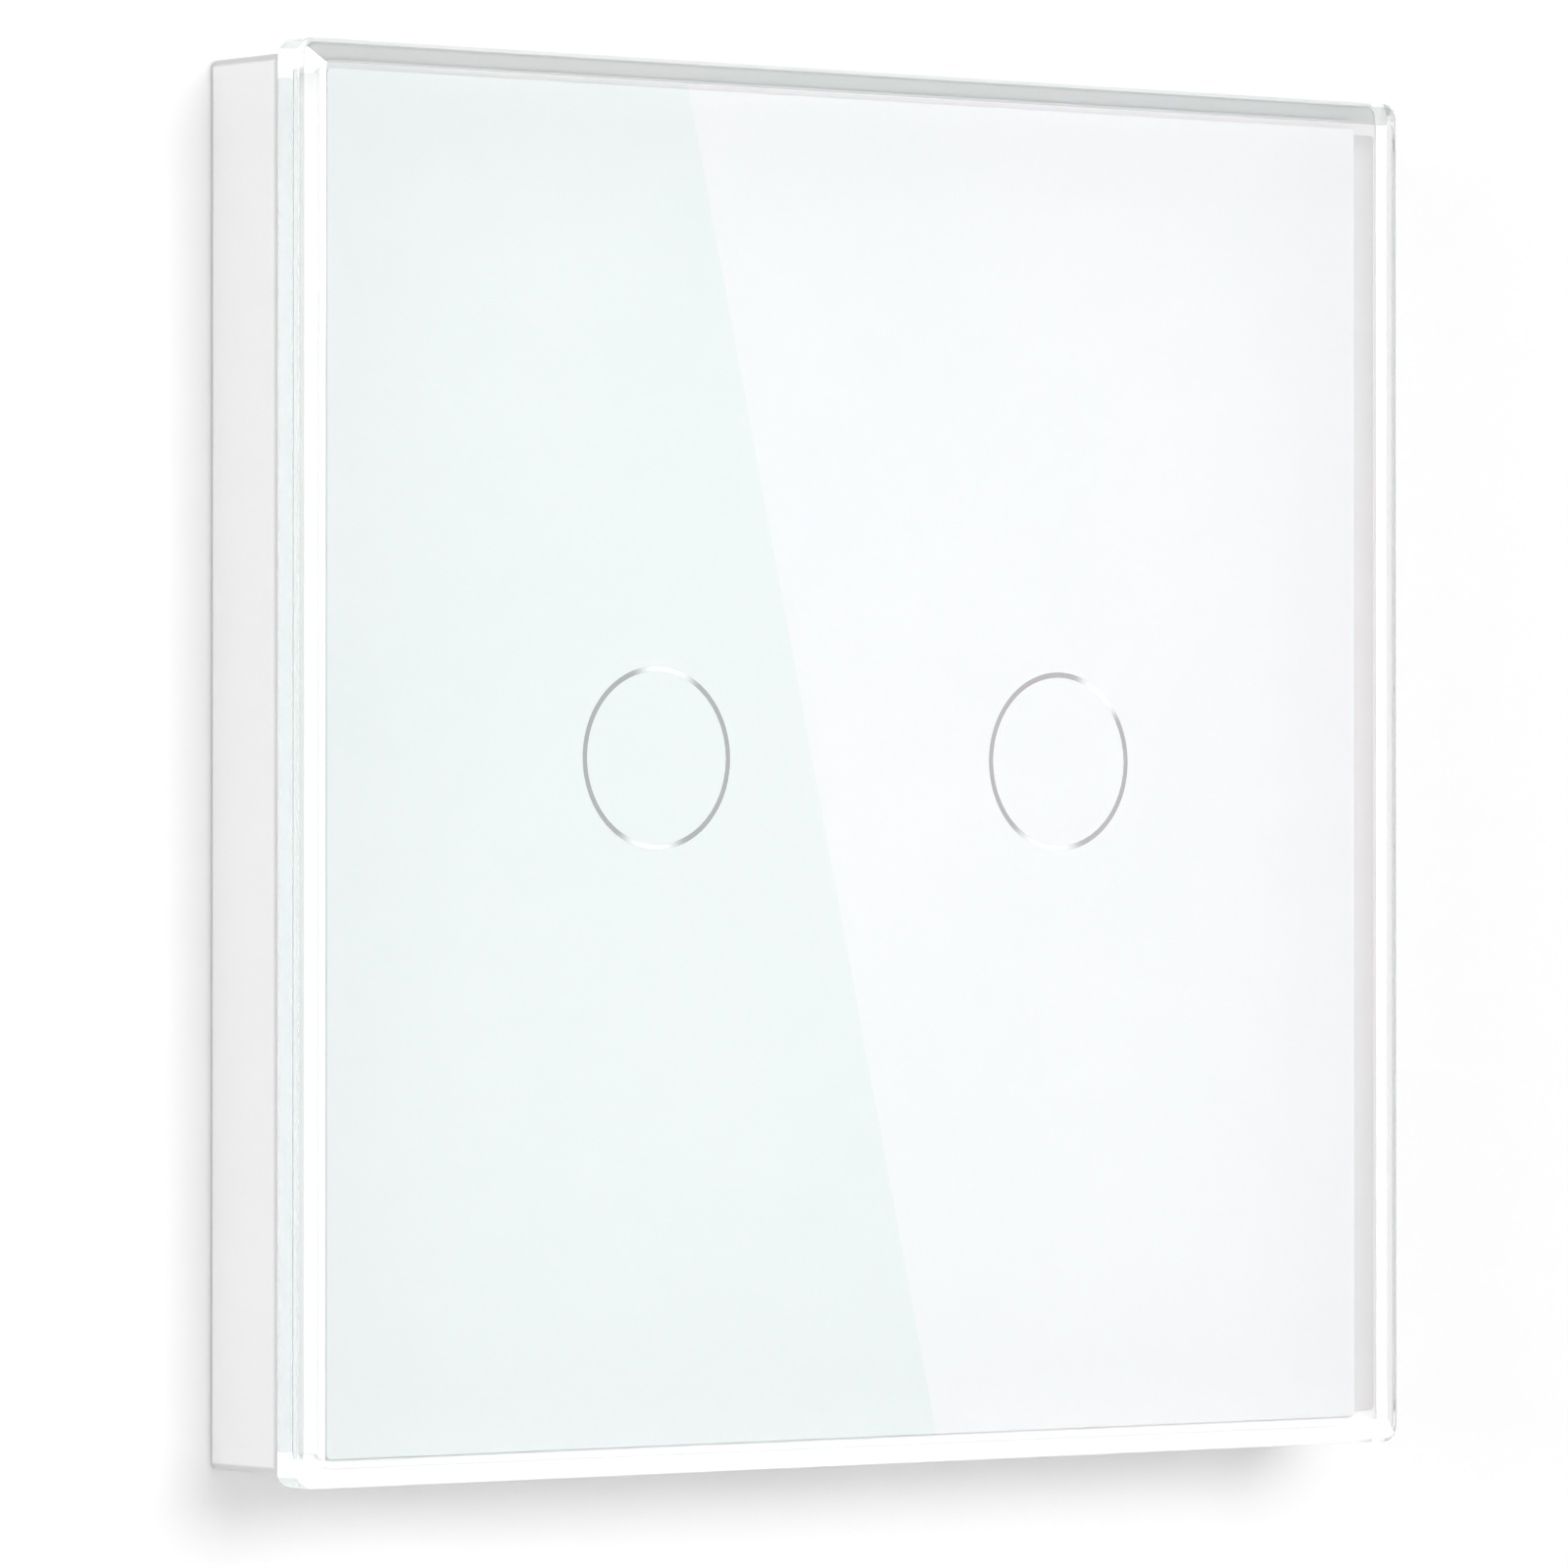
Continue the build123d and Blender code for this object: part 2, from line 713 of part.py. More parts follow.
def transformer_core():
    z = transformer_levels()
    y = (power_board_back, power_board_back + transformer_height)
    block = span(about(0, transformer_length / 2), y, z)
    windows = []
    window_reach = transformer_length / 2 - transformer_leg
    for side in (-1, 1):
        inner = side * transformer_leg / 2
        outer = side * window_reach
        windows.append(span((min(inner, outer), max(inner, outer)),
                            (y[0] + transformer_leg, y[1] - transformer_leg), through(z)))
    return cut(block, windows)


def transformer_coil():
    # The winding round the middle leg, standing out of the core above and below
    z = transformer_levels()
    y = (power_board_back + transformer_leg + transformer_coil_margin,
         power_board_back + transformer_height - transformer_leg - transformer_coil_margin)
    half = transformer_length / 2 - transformer_leg - transformer_coil_margin
    inner = transformer_leg / 2 + transformer_coil_margin / 2
    halves = []
    for side in (-1, 1):
        x = (min(side * inner, side * half), max(side * inner, side * half))
        halves.append(span(x, y, (z[0] - transformer_coil_margin, z[1] + transformer_coil_margin)))
    return halves


def bridge_rectifier():
    z = transformer_levels()
    x = transformer_length / 2 + component_gap + bridge_length / 2
    return span(about(x, bridge_length / 2), (power_board_back, power_board_back + bridge_height),
                about(z[0] + bridge_width / 2, bridge_width / 2))


def terminal_block():
    half = terminal_block_width / 2
    body = span(about(0, half), (power_board_back, housing_floor), (block_face, block_rear))
    cuts = []
    for x in terminal_places:
        place = (x, cage_centre)
        cuts.append(span(about(x, cage_width / 2 + cage_clearance),
                         (power_board_back - cut_overrun, cage_room_top),
                         (cage_room_face, cage_room_rear)))
        cuts.append(span(about(x, bar_width / 2), (power_board_back - cut_overrun, bar_top),
                         (cage_room_face, cage_room_rear + bar_leg_thickness)))
        cuts.append(rod(terminal_head_radius + terminal_head_clearance,
                        (recess_floor, housing_floor + cut_overrun), place))
        cuts.append(rod(terminal_screw_radius + terminal_thread_clearance,
                        through((cage_room_top, recess_floor)), place))
    return cut(body, cuts + [wire_guide_block(wire_guide_clearance, cut_overrun)])


def terminal_bar(x):
    bar = span(about(x, bar_width / 2), (bar_bottom, bar_top),
               (cage_room_face + cage_clearance, cage_room_rear + bar_leg_thickness))
    leg = span(about(x, bar_width / 2), (power_board_back, bar_top),
               (cage_room_rear, cage_room_rear + bar_leg_thickness))
    return bar + leg


def terminal_cage(x):
    # A square tube along the wire, with a tapped hole for the screw in its rear wall
    outer = span(about(x, cage_width / 2), (cage_bottom, cage_top),
                 about(cage_centre, cage_length / 2))
    inner = span(about(x, cage_width / 2 - cage_wall),
                 (cage_bottom + cage_wall, cage_top - cage_wall),
                 about(cage_centre, cage_length / 2 + cut_overrun))
    hole = rod(terminal_screw_radius + terminal_thread_clearance,
               through((cage_top - cage_wall, cage_top)), (x, cage_centre))
    return cut(outer, [inner, hole])


def terminal_screw(x):
    return slotted_screw(terminal_screw_radius, terminal_head_radius, head_seat,
                         terminal_head_height, screw_tip, (x, cage_centre), driver_slot_width,
                         driver_slot_depth)


def all_nodes():
    nodes = {
        "glass_panel": glass_panel(),
        "ring_marks": ring_marks(),
        "panel_print": panel_print(),
        "panel_adhesive": panel_adhesive(),
        "panel_frame": panel_frame(),
        "mounting_bracket": mounting_bracket(),
        "module_cover": module_cover(),
        "touch_board": touch_board(),
        "touch_board_screws": touch_board_screws(),
        "touch_electrodes": touch_electrodes(),
        "light_guides": light_guides(),
        "status_leds": status_leds(),
        "touch_chip": touch_chip(),
        "pin_header": pin_header(),
        "pin_socket": pin_socket(),
        "rear_housing": rear_housing(),
        "housing_screws": housing_screws(),
        "insulating_sheet": insulating_sheet(),
        "power_board": power_board(),
        "power_board_screws": power_board_screws(),
        "electrolytic_capacitor": electrolytic_capacitor(),
        "fuse": fuse(),
        "film_capacitor": film_capacitor(),
        "varistor": varistor(),
        "transformer_core": transformer_core(),
        "transformer_coil": transformer_coil(),
        "bridge_rectifier": bridge_rectifier(),
        "terminal_block": terminal_block(),
        "wire_guide": wire_guide(),
    }
    for side, name in ((-1, "left"), (1, "right")):
        for piece, shape in relay_pieces(side * relay_spacing / 2).items():
            nodes["relay_" + name + "_" + piece] = shape
    for number, x in enumerate(terminal_places, 1):
        nodes["terminal_bar_" + str(number)] = terminal_bar(x)
        nodes["terminal_cage_" + str(number)] = terminal_cage(x)
        nodes["terminal_screw_" + str(number)] = terminal_screw(x)
    return nodes


os.makedirs("parts", exist_ok=True)
for name, shape in all_nodes().items():
    solids = shape if isinstance(shape, list) else shape.solids()
    solids = [solid for item in solids for solid in item.solids()]
    whole = Compound(children=solids) if len(solids) > 1 else solids[0]
    export_step(whole, "parts/" + name + ".step")
print("wire entries at X", terminal_places, "Y", round(wire_level, 3), "Z", -housing_half_height,
      "to", round(cage_room_face, 3))
print("terminal screw axes at Z", round(cage_centre, 3), "head top Y", round(head_top, 3))
print("glass front Y", glass_front, "housing back Y", round(housing_back, 3))
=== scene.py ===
import math

import bpy
import numpy as np
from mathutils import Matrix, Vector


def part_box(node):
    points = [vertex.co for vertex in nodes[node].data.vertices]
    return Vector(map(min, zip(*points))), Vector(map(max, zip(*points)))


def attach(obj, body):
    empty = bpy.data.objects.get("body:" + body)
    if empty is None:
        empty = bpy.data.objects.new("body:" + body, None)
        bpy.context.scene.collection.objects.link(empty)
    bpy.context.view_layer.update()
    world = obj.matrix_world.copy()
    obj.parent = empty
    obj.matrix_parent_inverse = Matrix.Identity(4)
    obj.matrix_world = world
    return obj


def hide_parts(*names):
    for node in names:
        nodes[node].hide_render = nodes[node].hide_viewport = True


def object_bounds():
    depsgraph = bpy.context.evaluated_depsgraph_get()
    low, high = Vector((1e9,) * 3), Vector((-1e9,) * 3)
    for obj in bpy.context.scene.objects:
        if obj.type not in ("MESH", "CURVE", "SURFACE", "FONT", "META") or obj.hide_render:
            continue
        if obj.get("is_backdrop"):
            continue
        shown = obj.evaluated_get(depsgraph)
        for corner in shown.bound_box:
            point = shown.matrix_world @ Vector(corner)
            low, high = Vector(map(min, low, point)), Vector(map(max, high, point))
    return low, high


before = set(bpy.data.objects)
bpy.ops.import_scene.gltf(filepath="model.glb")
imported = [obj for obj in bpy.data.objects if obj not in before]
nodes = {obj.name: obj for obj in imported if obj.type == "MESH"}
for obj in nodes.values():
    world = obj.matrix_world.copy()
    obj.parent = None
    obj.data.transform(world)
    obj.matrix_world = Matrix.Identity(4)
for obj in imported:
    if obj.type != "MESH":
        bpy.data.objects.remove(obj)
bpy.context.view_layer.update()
mm = 0.001
perMm = 1000                # texture scale of a pattern 1 mm in size
wavePerMm = 100 * math.pi   # scale of a wave texture whose bands are 1 mm apart
white = (1, 1, 1, 1)
scene = bpy.context.scene


def toLinear(text):  # sRGB hex to the linear colour that the shaders take
    s = np.array([int(text[i:i + 2], 16) for i in (1, 3, 5)]) / 255
    s = np.where(s <= 0.04045, s / 12.92, ((s + 0.055) / 1.055) ** 2.4)
    return (float(s[0]), float(s[1]), float(s[2]), 1.0)


def add(tree, kind, settings=None, links=None):
    # one node: its own properties or its sockets, then its links. Where sockets share a name they go by number:
    # Mix has its factor at 0, two numbers at 2 and 3 and two colours at 6 and 7;
    # MapRange has its value at 0, the range it comes from at 1 and 2 and the range it goes to at 3 and 4
    new = tree.nodes.new("ShaderNode" + kind)
    for key, value in (settings or {}).items():
        if isinstance(key, str) and key in new.bl_rna.properties:
            setattr(new, key, value)
        else:
            new.inputs[key].default_value = value
    for key, socket in (links or {}).items():
        tree.links.new(socket, new.inputs[key])
    return new


def newMaterial(name):
    mat = bpy.data.materials.new(name)
    mat.use_nodes = True
    mat.node_tree.nodes.clear()
    return mat, mat.node_tree


def dress(mat, *names):  # gives a CAD node's slots their finish
    for name in names:
        for k in range(len(nodes[name].material_slots)):
            nodes[name].material_slots[k].material = mat


# the camera that fits the photo: place, lens and sensor in mm, tilt and turn in degrees
cameraView = {"place": (-382.35, -498.64, -7.07), "tilt": 90.5606, "turn": -37.553,
              "lens": 230.62, "sensor": 36.0, "nearest": 10.0}
camData = bpy.data.cameras.new("photoCamera")
camData.lens = cameraView["lens"]
camData.sensor_width = cameraView["sensor"]
camData.clip_start = cameraView["nearest"] * mm
cam = bpy.data.objects.new("photoCamera", camData)
cam.location = [v * mm for v in cameraView["place"]]
cam.rotation_euler = (math.radians(cameraView["tilt"]), 0, math.radians(cameraView["turn"]))
scene.collection.objects.link(cam)
scene.camera = cam
scene.view_settings.view_transform = "Standard"
print("camera placed")

worldLight = 0.34        # strength of the even sky; seen direct it is white


def seenDirect(tree):  # 1 for the camera's rays and for what metal and glass show of them, before a diffuse bounce
    path = add(tree, "LightPath")
    first = add(tree, "Math", {"operation": "MAXIMUM"},
                {0: path.outputs["Is Camera Ray"], 1: path.outputs["Is Glossy Ray"]})
    first = add(tree, "Math", {"operation": "MAXIMUM"}, {0: first.outputs[0], 1: path.outputs["Is Transmission Ray"]})
    early = add(tree, "Math", {"operation": "LESS_THAN", 1: 0.5}, {0: path.outputs["Diffuse Depth"]})
    return add(tree, "Math", {"operation": "MULTIPLY"}, {0: first.outputs[0], 1: early.outputs[0]}).outputs[0]


world = bpy.data.worlds.new("studioWorld")
scene.world = world
world.use_nodes = True
world.cycles.sampling_method = "NONE"
tree = world.node_tree
tree.nodes.clear()
strength = add(tree, "MapRange", {3: worldLight, 4: 1.0}, {0: seenDirect(tree)})
sky = add(tree, "Background", {"Color": white}, {"Strength": strength.outputs[0]})
add(tree, "OutputWorld", None, {"Surface": sky.outputs[0]})


def flatMesh(name, points, faces=((0, 1, 2, 3),)):  # flat faces through the points, in mm
    mesh = bpy.data.meshes.new(name)
    mesh.from_pydata([[v * mm for v in p] for p in points], [], faces)
    obj = bpy.data.objects.new(name, mesh)
    scene.collection.objects.link(obj)
    return obj


def rectangle(low, high):  # the four corners of a rectangle square to the axes, from two opposite ones
    across, up = (k for k in range(3) if low[k] != high[k])
    return [low, [high[k] if k == across else low[k] for k in range(3)],
            high, [high[k] if k == up else low[k] for k in range(3)]]


# pale wall and floor, in mm: the wall stands just behind the switch's back plane and has a hole there, so that light
# reaches the module from behind, and lift is a weak glow that only the camera and mirrors see
backdrop = {"tone": "#E9E9E9", "lift": 0.065, "gap": 0.2, "hole": 42.1, "side": 1500.0, "top": 1200.0,
            "floorDrop": 350.0, "floorReach": 1500.0}


def backdropPaint(name):  # matt pale paint, seen from its front only, so the back of the switch can be looked at
    mat, tree = newMaterial(name)
    paint = add(tree, "BsdfDiffuse", {"Color": toLinear(backdrop["tone"])})
    glow = add(tree, "Math", {"operation": "MULTIPLY", 1: backdrop["lift"]}, {0: seenDirect(tree)})
    lift = add(tree, "Emission", {"Color": white}, {"Strength": glow.outputs[0]})
    both = add(tree, "AddShader", None, {0: paint.outputs[0], 1: lift.outputs[0]})
    behind = add(tree, "NewGeometry").outputs["Backfacing"]
    mix = add(tree, "MixShader", None, {0: behind, 1: both.outputs[0], 2: add(tree, "BsdfTransparent").outputs[0]})
    add(tree, "OutputMaterial", None, {"Surface": mix.outputs[0]})
    return mat


side, gap, hole, drop = (backdrop[k] for k in ("side", "gap", "hole", "floorDrop"))
outer = rectangle((-side, gap, -drop), (side, gap, backdrop["top"]))
inner = rectangle((-hole, gap, -hole), (hole, gap, hole))
around = [(k, (k + 1) % 4, 4 + (k + 1) % 4, 4 + k) for k in range(4)]
wall = flatMesh("wallBackdrop", outer + inner, around)
floor = flatMesh("paleFloor", rectangle((-side, -backdrop["floorReach"], -drop), (side, gap, -drop)))
for obj in (wall, floor):
    obj.data.materials.append(backdropPaint(obj.name + "_paint"))
    obj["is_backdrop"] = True

# the glass's own box in the frame gives its width and depth, in mm
low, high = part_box("glass_panel")
glassHalf, glassFront, glassBack = high[0] / mm, low[1] / mm, high[1] / mm

# the soft white card that the glass mirrors on its right part: its slanted side is the line seen across the face
softbox = {"distance": 600.0, "edge": ((437.7, 100.4), (481.0, -85.3)), "reach": 330.0, "halfHeight": 260.0}
(x0, z0), (x1, z1) = softbox["edge"]
slope = (x1 - x0) / (z1 - z0)
half, right, y = softbox["halfHeight"], x0 + softbox["reach"], glassFront - softbox["distance"]
cards = {"softboxCard": {"glow": (2.4, 1.58, 1.9),
                         "corners": [(x0 + slope * (-half - z0), y, -half), (x0 + slope * (half - z0), y, half),
                                     (right, y, half), (right, y, -half)]},
         "ceilingFlag": {"glow": (0.38, 0.38, 0.38),
                         "corners": rectangle((-1400.0, -1500.0, 760.0), (1400.0, 0.0, 760.0))},
         "sideFlag": {"glow": (0.75, 0.75, 0.75),
                      "corners": rectangle((900.0, -420.0, -300.0), (900.0, 0.0, 500.0))},
         "leftCard": {"glow": (1.45, 1.45, 1.45),
                      "corners": rectangle((-420.0, -900.0, -300.0), (60.0, -900.0, 300.0))},
         "floorCard": {"glow": (1.75, 1.75, 1.75),
                       "corners": rectangle((-1400.0, -1500.0, -340.0), (1400.0, -40.0, -340.0))}}
for name, v in cards.items():      # only what is mirrored in glass and metal sees these
    card = flatMesh(name, v["corners"])
    mat, tree = newMaterial(name + "_fabric")
    glow = add(tree, "Emission", {"Color": (*v["glow"], 1.0), "Strength": 1.0})
    add(tree, "OutputMaterial", None, {"Surface": glow.outputs[0]})
    card.data.materials.append(mat)
    card.visible_camera = card.visible_diffuse = card.visible_transmission = card.visible_shadow = False
    card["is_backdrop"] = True

# soft round lamps that face the switch: place and size in mm, power in watts
lamps = {"keyLamp": {"place": (110.0, -1300.0, 468.0), "size": (1300.0, 780.0), "power": 13.7},
         "leftLamp": {"place": (-1150.0, -420.0, 140.0), "size": (500.0, 500.0), "power": 3.0},
         "backLamp": {"place": (-350.0, 1100.0, 500.0), "size": (1200.0, 1200.0), "power": 9.0}}
for name, v in lamps.items():
    data = bpy.data.lights.new(name, "AREA")
    data.shape = "ELLIPSE"
    data.size, data.size_y = (d * mm for d in v["size"])
    data.energy = v["power"]
    lamp = bpy.data.objects.new(name, data)
    place = np.array(v["place"]) * mm
    lamp.location = place
    away = place / np.linalg.norm(place)      # the lamp's own +Z points away from the switch
    lamp.rotation_euler = (math.acos(away[2]), 0, math.atan2(away[1], away[0]) + math.pi / 2)
    lamp.visible_camera = lamp.visible_transmission = False
    scene.collection.objects.link(lamp)
print("studio set")


def roundedProfile(points, cut, steps):
    # each inner corner V gets the curve (1-t)^2 A + 2t(1-t) V + t^2 B, where A and B lie at the cut along its two sides
    p = np.array(points)
    before, v, after = p[:-2], p[1:-1], p[2:]
    a = v + cut * (before - v) / np.linalg.norm(before - v, axis=1)[:, None]
    b = v + cut * (after - v) / np.linalg.norm(after - v, axis=1)[:, None]
    t = np.linspace(0, 1, steps)[None, :, None]
    curve = (1 - t) ** 2 * a[:, None] + 2 * t * (1 - t) * v[:, None] + t ** 2 * b[:, None]
    side0 = (v - before) / np.linalg.norm(v - before, axis=1)[:, None]
    side1 = (after - v) / np.linalg.norm(after - v, axis=1)[:, None]
    along = (1 - t) * side0[:, None] + t * side1[:, None]
    along = along / np.linalg.norm(along, axis=2)[:, :, None]
    line = np.concatenate([p[:1], curve.reshape(-1, 2), p[-1:]])
    along = np.concatenate([side0[:1], along.reshape(-1, 2), side1[-1:]])
    return line, np.stack([-along[:, 1], along[:, 0]], axis=1)


def carriedRound(profile, normals, half, radius, least, steps):
    # a profile of (inset, depth) carried round a square whose corners are arcs: point = corner centre
    # + (radius - inset) (cos a, sin a), where the corner centre moves in where the arc would be too small
    k = np.repeat(np.arange(4), steps)
    a = np.tile(np.linspace(0, math.pi / 2, steps), 4) + k * math.pi / 2
    signs = np.array([(1, 1), (-1, 1), (-1, -1), (1, -1)])[k]
    inset = profile[:, 0][:, None]
    r = np.maximum(radius - inset, least)
    x = (half - inset - r) * signs[:, 0] + r * np.cos(a)
    z = (half - inset - r) * signs[:, 1] + r * np.sin(a)
    y = np.repeat(profile[:, 1][:, None], len(a), axis=1)
    n = np.stack([-normals[:, 0][:, None] * np.cos(a), np.repeat(normals[:, 1][:, None], len(a), axis=1),
                  -normals[:, 0][:, None] * np.sin(a)], axis=2)
    return np.stack([x, y, z], axis=2), n


def loftMesh(name, grid, normals):  # rings of points joined by quads, closed by a flat face at each end
    rows, cols = grid.shape[:2]
    i, j = np.meshgrid(np.arange(rows - 1), np.arange(cols), indexing="ij")
    jj = (j + 1) % cols
    quads = np.stack([i * cols + j, (i + 1) * cols + j, (i + 1) * cols + jj, i * cols + jj], axis=2).reshape(-1, 4)
    faces = quads.tolist() + [list(range(cols)), list(range((rows - 1) * cols, rows * cols))[::-1]]
    mesh = bpy.data.meshes.new(name)
    mesh.from_pydata((grid.reshape(-1, 3) * mm).tolist(), [], faces)
    mesh.polygons.foreach_set("use_smooth", np.ones(len(faces), bool))
    mesh.update()
    mesh.normals_split_custom_set_from_vertices(normals.reshape(-1, 3).tolist())
    obj = bpy.data.objects.new(name, mesh)
    scene.collection.objects.link(obj)
    return obj


# the glass in mm, from its front's flat over the bevel and the arrises to its back, which lies a hair inside the print;
# slack is for telling the bevel's rings from the flats beside it
glassCut = {"intoInk": 0.05, "cornerRadius": 1.0, "leastRadius": 0.1, "bevelWidth": 1.2, "bevelDepth": 0.5,
            "frontArris": 0.25, "backArris": 0.2, "polish": 0.05, "polishSteps": 6, "cornerSteps": 28,
            "flatMargin": 0.3, "slack": (0.001, 0.01)}
g = glassCut
bevelEnd, rear, rim = glassFront + g["bevelDepth"], glassBack + g["intoInk"], g["bevelWidth"] + g["frontArris"]
corners = [(rim + g["flatMargin"], glassFront), (rim, glassFront), (g["frontArris"], bevelEnd),
           (0, bevelEnd + g["frontArris"]), (0, rear - g["backArris"]), (g["backArris"], rear),
           (rim + g["flatMargin"], rear)]
line, normal = roundedProfile(corners, g["polish"], g["polishSteps"])
grid, gridNormal = carriedRound(line, normal, glassHalf, g["cornerRadius"], g["leastRadius"], g["cornerSteps"])
glass = loftMesh("bevelled_glass", grid, gridNormal)
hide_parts("glass_panel")
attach(glass, "panel")

# float glass, cut, ground and polished: clear, with only the ribbon's faint wave in what it mirrors
glassLook = {"tint": "#F9FEFD", "ior": 1.52, "roughness": 0.004, "waveLength": 28.0, "waveHeight": 0.0004,
             "inkLight": 0.566, "oneSide": 0.96, "bentAside": 0.35, "facing": 0.98}
bevelCoat = {"Coat Weight": 1.0, "Coat IOR": 3.6, "Coat Roughness": 0.02}


def floatGlass(name, look, coat):
    mat, tree = newMaterial(name)
    place = add(tree, "TexCoord").outputs["Object"]
    wave = add(tree, "TexNoise", {"Scale": perMm / look["waveLength"], "Detail": 1.0}, {"Vector": place})
    bump = add(tree, "Bump", {"Strength": 1.0, "Distance": look["waveHeight"] * mm}, {"Height": wave.outputs[0]})
    tint = add(tree, "Mix", {"data_type": "RGBA", 6: toLinear(look["tint"]), 7: white}, {0: wave.outputs[0]})
    clear = add(tree, "BsdfPrincipled",
                {"IOR": look["ior"], "Roughness": look["roughness"], "Transmission Weight": 1.0, **coat},
                {"Base Color": tint.outputs[2], "Normal": bump.outputs[0]})
    path = add(tree, "LightPath")
    fresh = add(tree, "Math", {"operation": "LESS_THAN", 1: 0.5}, {0: path.outputs["Transparent Depth"]})
    shape = add(tree, "NewGeometry")
    fromInk = add(tree, "Math", {"operation": "MULTIPLY"}, {0: fresh.outputs[0], 1: shape.outputs["Backfacing"]})
    facing = add(tree, "SeparateXYZ", None, {0: shape.outputs["Normal"]}).outputs[1]
    turned = add(tree, "Math", {"operation": "ABSOLUTE"}, {0: facing})
    flat = add(tree, "Math", {"operation": "GREATER_THAN", 1: look["facing"]}, {0: turned.outputs[0]})
    # lamp light: the flat faces let it through, the slanted and the side faces bend most of it aside, and
    # the glass keeps back a part of what the ink that touches it scatters, so that ink gets less of the lamp
    loss = add(tree, "Mix", {"data_type": "FLOAT", 2: look["bentAside"], 3: look["oneSide"]}, {0: flat.outputs[0]})
    dim = add(tree, "Mix", {"data_type": "FLOAT", 3: look["inkLight"]}, {0: fromInk.outputs[0], 2: loss.outputs[0]})
    through = add(tree, "BsdfTransparent", None, {"Color": dim.outputs[0]})
    mix = add(tree, "MixShader", None,
              {0: path.outputs["Is Shadow Ray"], 1: clear.outputs[0], 2: through.outputs[0]})
    add(tree, "OutputMaterial", None, {"Surface": mix.outputs[0]})
    return mat


glass.data.materials.append(floatGlass("clearFloatGlass_polished", glassLook, {}))
glass.data.materials.append(floatGlass("clearFloatGlass_bevelled", glassLook, bevelCoat))
depth = grid[:, 0, 1]       # the bevel's rings lie between the two flats of the profile
onBevel = (depth[:-1] < bevelEnd + g["slack"][1]) & (depth[1:] > glassFront + g["slack"][0])
slot = np.zeros(len(glass.data.polygons), np.int32)
slot[:len(onBevel) * grid.shape[1]] = np.repeat(onBevel, grid.shape[1])
glass.data.polygons.foreach_set("material_index", slot)
glass.data.update()
print("glass made:", len(glass.data.polygons), "faces")

edgeFinder = {"samples": 6, "level": 0.999, "turned": 0.9}     # how far the rounded normal turns near an edge
noiseSpan = (0.3, 0.7)       # most of a noise texture's values lie between these
plasticGloss = {"spread": (-0.05, 0.05), "wearAndShade": 0.8}
metalGloss = {"spread": (-0.08, 0.1), "cloudSpan": (0.35, 0.65)}


def surface(tree, settings, links):  # the finished shader and its output
    skin = add(tree, "BsdfPrincipled", settings, links)
    add(tree, "OutputMaterial", None, {"Surface": skin.outputs[0]})


def softened(tree, radius):  # a rounded edge's normal, and how near to an edge the point is, from 0 to 1
    soft = add(tree, "Bevel", {"samples": edgeFinder["samples"], "Radius": radius * mm})
    same = add(tree, "VectorMath", {"operation": "DOT_PRODUCT"},
               {0: soft.outputs[0], 1: add(tree, "NewGeometry").outputs["Normal"]})
    near = add(tree, "MapRange", {1: edgeFinder["level"], 2: edgeFinder["turned"], 3: 0.0, 4: 1.0},
               {0: same.outputs["Value"]})
    return soft.outputs[0], near.outputs[0]


def mouldedPlastic(name, look, shadeMask=None):
    # a moulded thermoplastic has an even body, the fine grain of its spark-eroded mould, and edges that handling rubs
    # smoother, with an edge tone that is rubbed wear where it is lighter and painted shade where it is darker, as on
    # the frame; the last argument, called as (tree, place, near), can add painted shade elsewhere
    mat, tree = newMaterial(name)
    place = add(tree, "TexCoord").outputs["Object"]
    grain = add(tree, "TexNoise", {"Scale": perMm / look["grain"], "Detail": 3.0, "Roughness": 0.6}, {"Vector": place})
    cloud = add(tree, "TexNoise", {"Scale": perMm / look["cloud"], "Detail": 2.0}, {"Vector": place})
    soft, near = softened(tree, look["edge"])
    bump = add(tree, "Bump", {"Strength": 1.0, "Distance": look["grainHeight"] * mm},
               {"Height": grain.outputs[0], "Normal": soft})
    if shadeMask:
        near = shadeMask(tree, place, near)
    tone = add(tree, "Mix", {"data_type": "RGBA", 6: toLinear(look["body"]), 7: toLinear(look["shade"])},
               {0: cloud.outputs[0]})
    # the edge tone: rubbed wear where it is lighter, painted shade where it is darker, as on the frame
    wearAndShade = add(tree, "Mix", {"data_type": "RGBA", 7: toLinear(look["wearAndShade"])}, {0: near, 6: tone.outputs[2]})
    smooth, dull = (look["roughness"] + v for v in plasticGloss["spread"])
    gloss = add(tree, "MapRange", {1: noiseSpan[0], 2: noiseSpan[1], 3: smooth, 4: dull}, {0: grain.outputs[0]})
    shine = add(tree, "Mix", {"data_type": "FLOAT", 3: look["roughness"] * plasticGloss["wearAndShade"]},
                {0: near, 2: gloss.outputs[0]})
    surface(tree, {"IOR": look["ior"]},
            {"Base Color": wearAndShade.outputs[2], "Roughness": shine.outputs[0], "Normal": bump.outputs[0]})
    return mat


